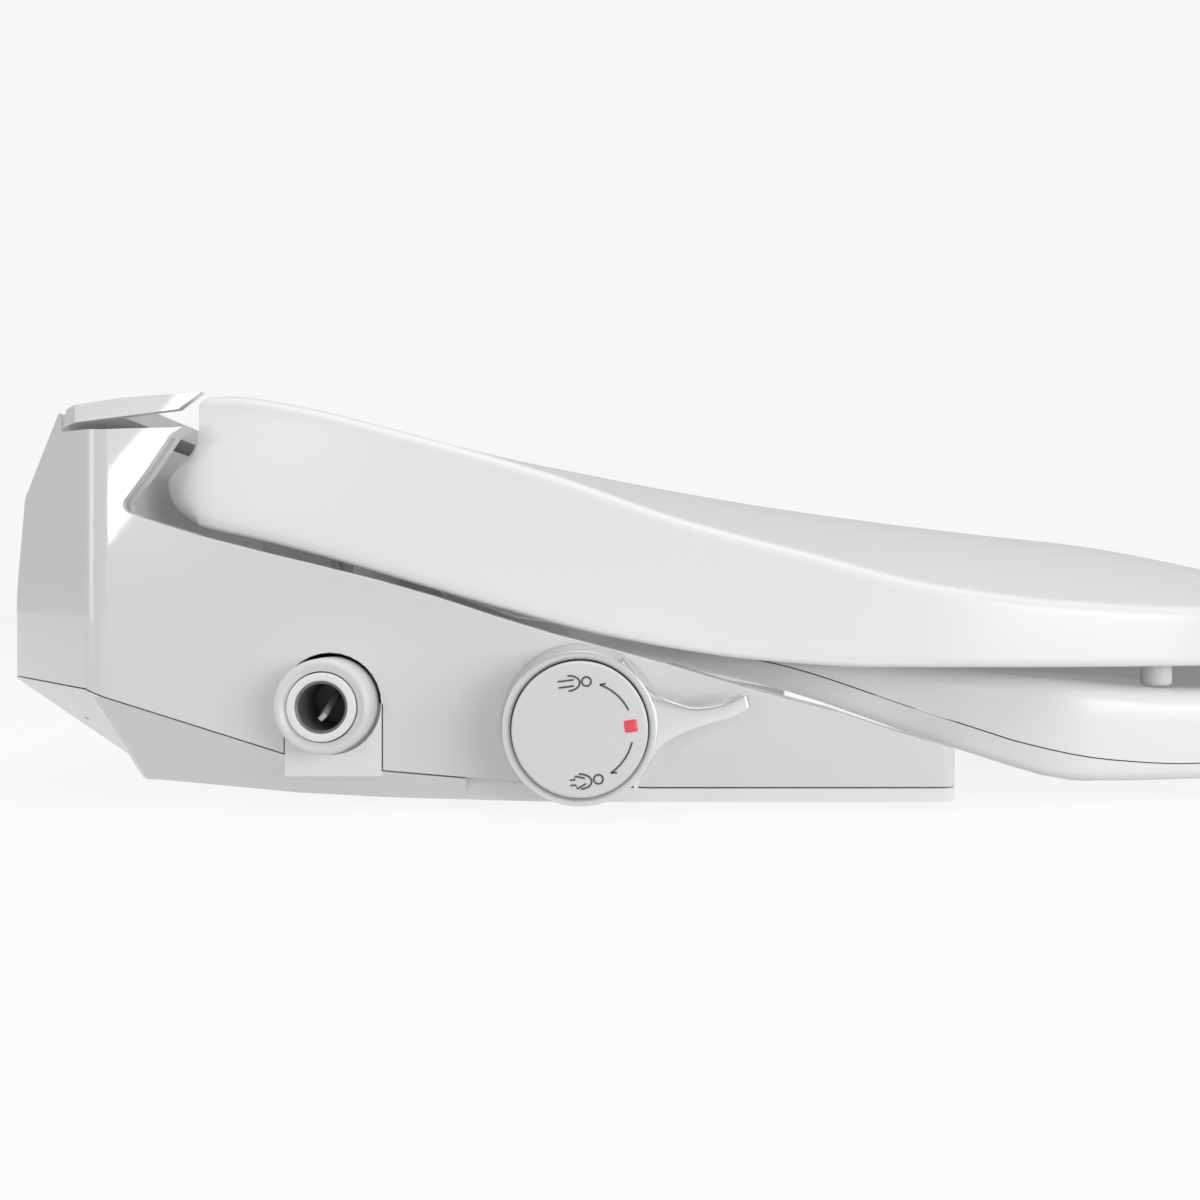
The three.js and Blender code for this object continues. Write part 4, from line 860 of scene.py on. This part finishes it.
def build_stage():
    """Pale floor and background, soft studio light, and the camera."""
    scene = bpy.context.scene
    scene.view_settings.view_transform = "Standard"
    backdrop = tuple(colours().backdrop)
    half = sizes().room
    grid = np.array([[[-half, -half, FLOOR_Z], [half, -half, FLOOR_Z]],
                     [[-half, half, FLOOR_Z], [half, half, FLOOR_Z]]])
    floor = surface("pale_floor", grid, wrap_columns=False)
    paper = bpy.data.materials.new("pale_floor")
    paper.use_nodes = True
    shader = paper.node_tree.nodes["Principled BSDF"]
    shader.inputs["Base Color"].default_value = (0.16, 0.16, 0.16, 1)
    shader.inputs["Roughness"].default_value = 1.0
    shader.inputs["Specular IOR Level"].default_value = 0.0
    shader.inputs["Emission Color"].default_value = (*backdrop, 1)
    shader.inputs["Emission Strength"].default_value = 0.90
    floor.data.materials.append(paper)
    floor.visible_diffuse = False

    world = bpy.data.worlds.new("studio")
    world.use_nodes = True
    tree = world.node_tree
    seen = tree.nodes["Background"]
    seen.inputs["Color"].default_value = (*backdrop, 1)
    room = node_in(tree, "ShaderNodeBackground", 0, -200, Strength=0.46)
    room.inputs["Color"].default_value = (1, 1, 1, 1)
    ray = node_in(tree, "ShaderNodeLightPath", -300, 200)
    mix = node_in(tree, "ShaderNodeMixShader", 200, 0)
    tree.links.new(ray.outputs["Is Camera Ray"], mix.inputs[0])
    tree.links.new(room.outputs[0], mix.inputs[1])
    tree.links.new(seen.outputs[0], mix.inputs[2])
    tree.links.new(mix.outputs[0], tree.nodes["World Output"].inputs["Surface"])
    scene.world = world

    area_light("side_window", (1.4, -1.5, 0.42), (0.35, -0.1, 0.05), (1.2, 0.7), 10)
    area_light("top_window", (0.35, -0.5, 2.2), (0.2, -0.1, 0.05), (1.8, 1.8), 14)
    area_light("rear_strip", (-1.5, -0.5, 0.6), (-0.05, -0.15, 0.08), (0.5, 1.2), 5)
    area_light("low_fill", (1.3, -1.5, 0.08), (0.40, -0.1, 0.03), (1.2, 0.1), 3)
    area_light("gleam_strip", (-0.68, -2.1, 0.32), (0.02, -0.185, 0.11), (0.085, 0.34), 1.6, roll=-38)

    data = bpy.data.cameras.new("camera")
    data.lens = 38.4
    data.sensor_width = 36.0
    camera = bpy.data.objects.new("camera", data)
    camera.location = (0.130, -0.600, 0.0631)
    camera.rotation_euler = (np.pi / 2, 0, 0)
    scene.collection.objects.link(camera)
    scene.camera = camera


def area_light(name, place, target, size, watts, roll=0.0):
    """Rectangular light at a place, facing a target and turned by roll degrees about its own axis."""
    data = bpy.data.lights.new(name, "AREA")
    data.shape = "RECTANGLE"
    data.size, data.size_y = size
    data.energy = watts
    light = bpy.data.objects.new(name, data)
    light.location = place
    facing = Vector(np.subtract(target, place)).to_track_quat("-Z", "Y")
    light.rotation_euler = (facing @ Quaternion((0, 0, 1), np.radians(roll))).to_euler()
    bpy.context.scene.collection.objects.link(light)


# ---------- operators ----------

class BIDET_OT_stage(bpy.types.Operator):
    """Adds the pale floor, the light and the camera."""
    bl_idname = "bidet.stage"
    bl_label = "Stage"

    def execute(self, context):
        build_stage()
        return {"FINISHED"}


class BIDET_OT_housing(bpy.types.Operator):
    """Adds the housing's cover, ridge and base."""
    bl_idname = "bidet.housing"
    bl_label = "Housing"

    def execute(self, context):
        build_housing()
        return {"FINISHED"}


class BIDET_OT_lid(bpy.types.Operator):
    """Adds the lid's shell, lugs, rests and bumpers."""
    bl_idname = "bidet.lid"
    bl_label = "Lid"

    def execute(self, context):
        build_lid()
        build_lid_fittings()
        return {"FINISHED"}


class BIDET_OT_seat(bpy.types.Operator):
    """Adds the seat's two shells, ears and bumpers."""
    bl_idname = "bidet.seat"
    bl_label = "Seat"

    def execute(self, context):
        build_seat_top()
        build_seat_bottom()
        build_seat_bumpers()
        return {"FINISHED"}


class BIDET_OT_control(bpy.types.Operator):
    """Adds the lever's ring, blade, cap and marks."""
    bl_idname = "bidet.control"
    bl_label = "Control lever"

    def execute(self, context):
        build_lever_ring()
        build_lever_blade()
        build_cap()
        build_marks()
        build_off_mark()
        return {"FINISHED"}


class BIDET_OT_inlet(bpy.types.Operator):
    """Adds the collar, pipe, liner and valve pin of the hose inlet."""
    bl_idname = "bidet.inlet"
    bl_label = "Inlet"

    def execute(self, context):
        build_inlet()
        return {"FINISHED"}


class BIDET_OT_fittings(bpy.types.Operator):
    """Eases the edges of the bracket, hinge, valve, nozzle and screw pieces."""
    bl_idname = "bidet.fittings"
    bl_label = "Inner fittings"

    def execute(self, context):
        build_eased()
        return {"FINISHED"}


class BIDET_OT_hoses(bpy.types.Operator):
    """Adds the round water hoses inside the housing."""
    bl_idname = "bidet.hoses"
    bl_label = "Hoses"

    def execute(self, context):
        build_hoses()
        return {"FINISHED"}


OPERATORS = (BIDET_OT_stage, BIDET_OT_housing, BIDET_OT_lid, BIDET_OT_seat, BIDET_OT_control, BIDET_OT_inlet,
             BIDET_OT_fittings, BIDET_OT_hoses)


class BIDET_PT_panel(bpy.types.Panel):
    """Sizes, colours and pieces of the bidet seat."""
    bl_idname = "BIDET_PT_panel"
    bl_label = "Bidet Seat"
    bl_space_type = "VIEW_3D"
    bl_region_type = "UI"
    bl_category = "Bidet Seat"

    def draw(self, context):
        for group, settings in (("Sizes", sizes()), ("Colours", colours())):
            box = self.layout.box()
            box.label(text=group)
            for field in settings.__annotations__:
                box.prop(settings, field)
        for piece in OPERATORS:
            self.layout.operator(piece.bl_idname)


CLASSES = (BIDET_PG_sizes, BIDET_PG_colours, *OPERATORS, BIDET_PT_panel)


def register():
    for item in CLASSES:
        bpy.utils.register_class(item)
    bpy.types.Scene.bidet_sizes = PointerProperty(type=BIDET_PG_sizes)
    bpy.types.Scene.bidet_colours = PointerProperty(type=BIDET_PG_colours)


def unregister():
    del bpy.types.Scene.bidet_colours
    del bpy.types.Scene.bidet_sizes
    for item in reversed(CLASSES):
        bpy.utils.unregister_class(item)


def main():
    register()
    for piece in OPERATORS:
        getattr(bpy.ops.bidet, piece.bl_idname.split(".")[1])()


if __name__ == "__main__":
    main()
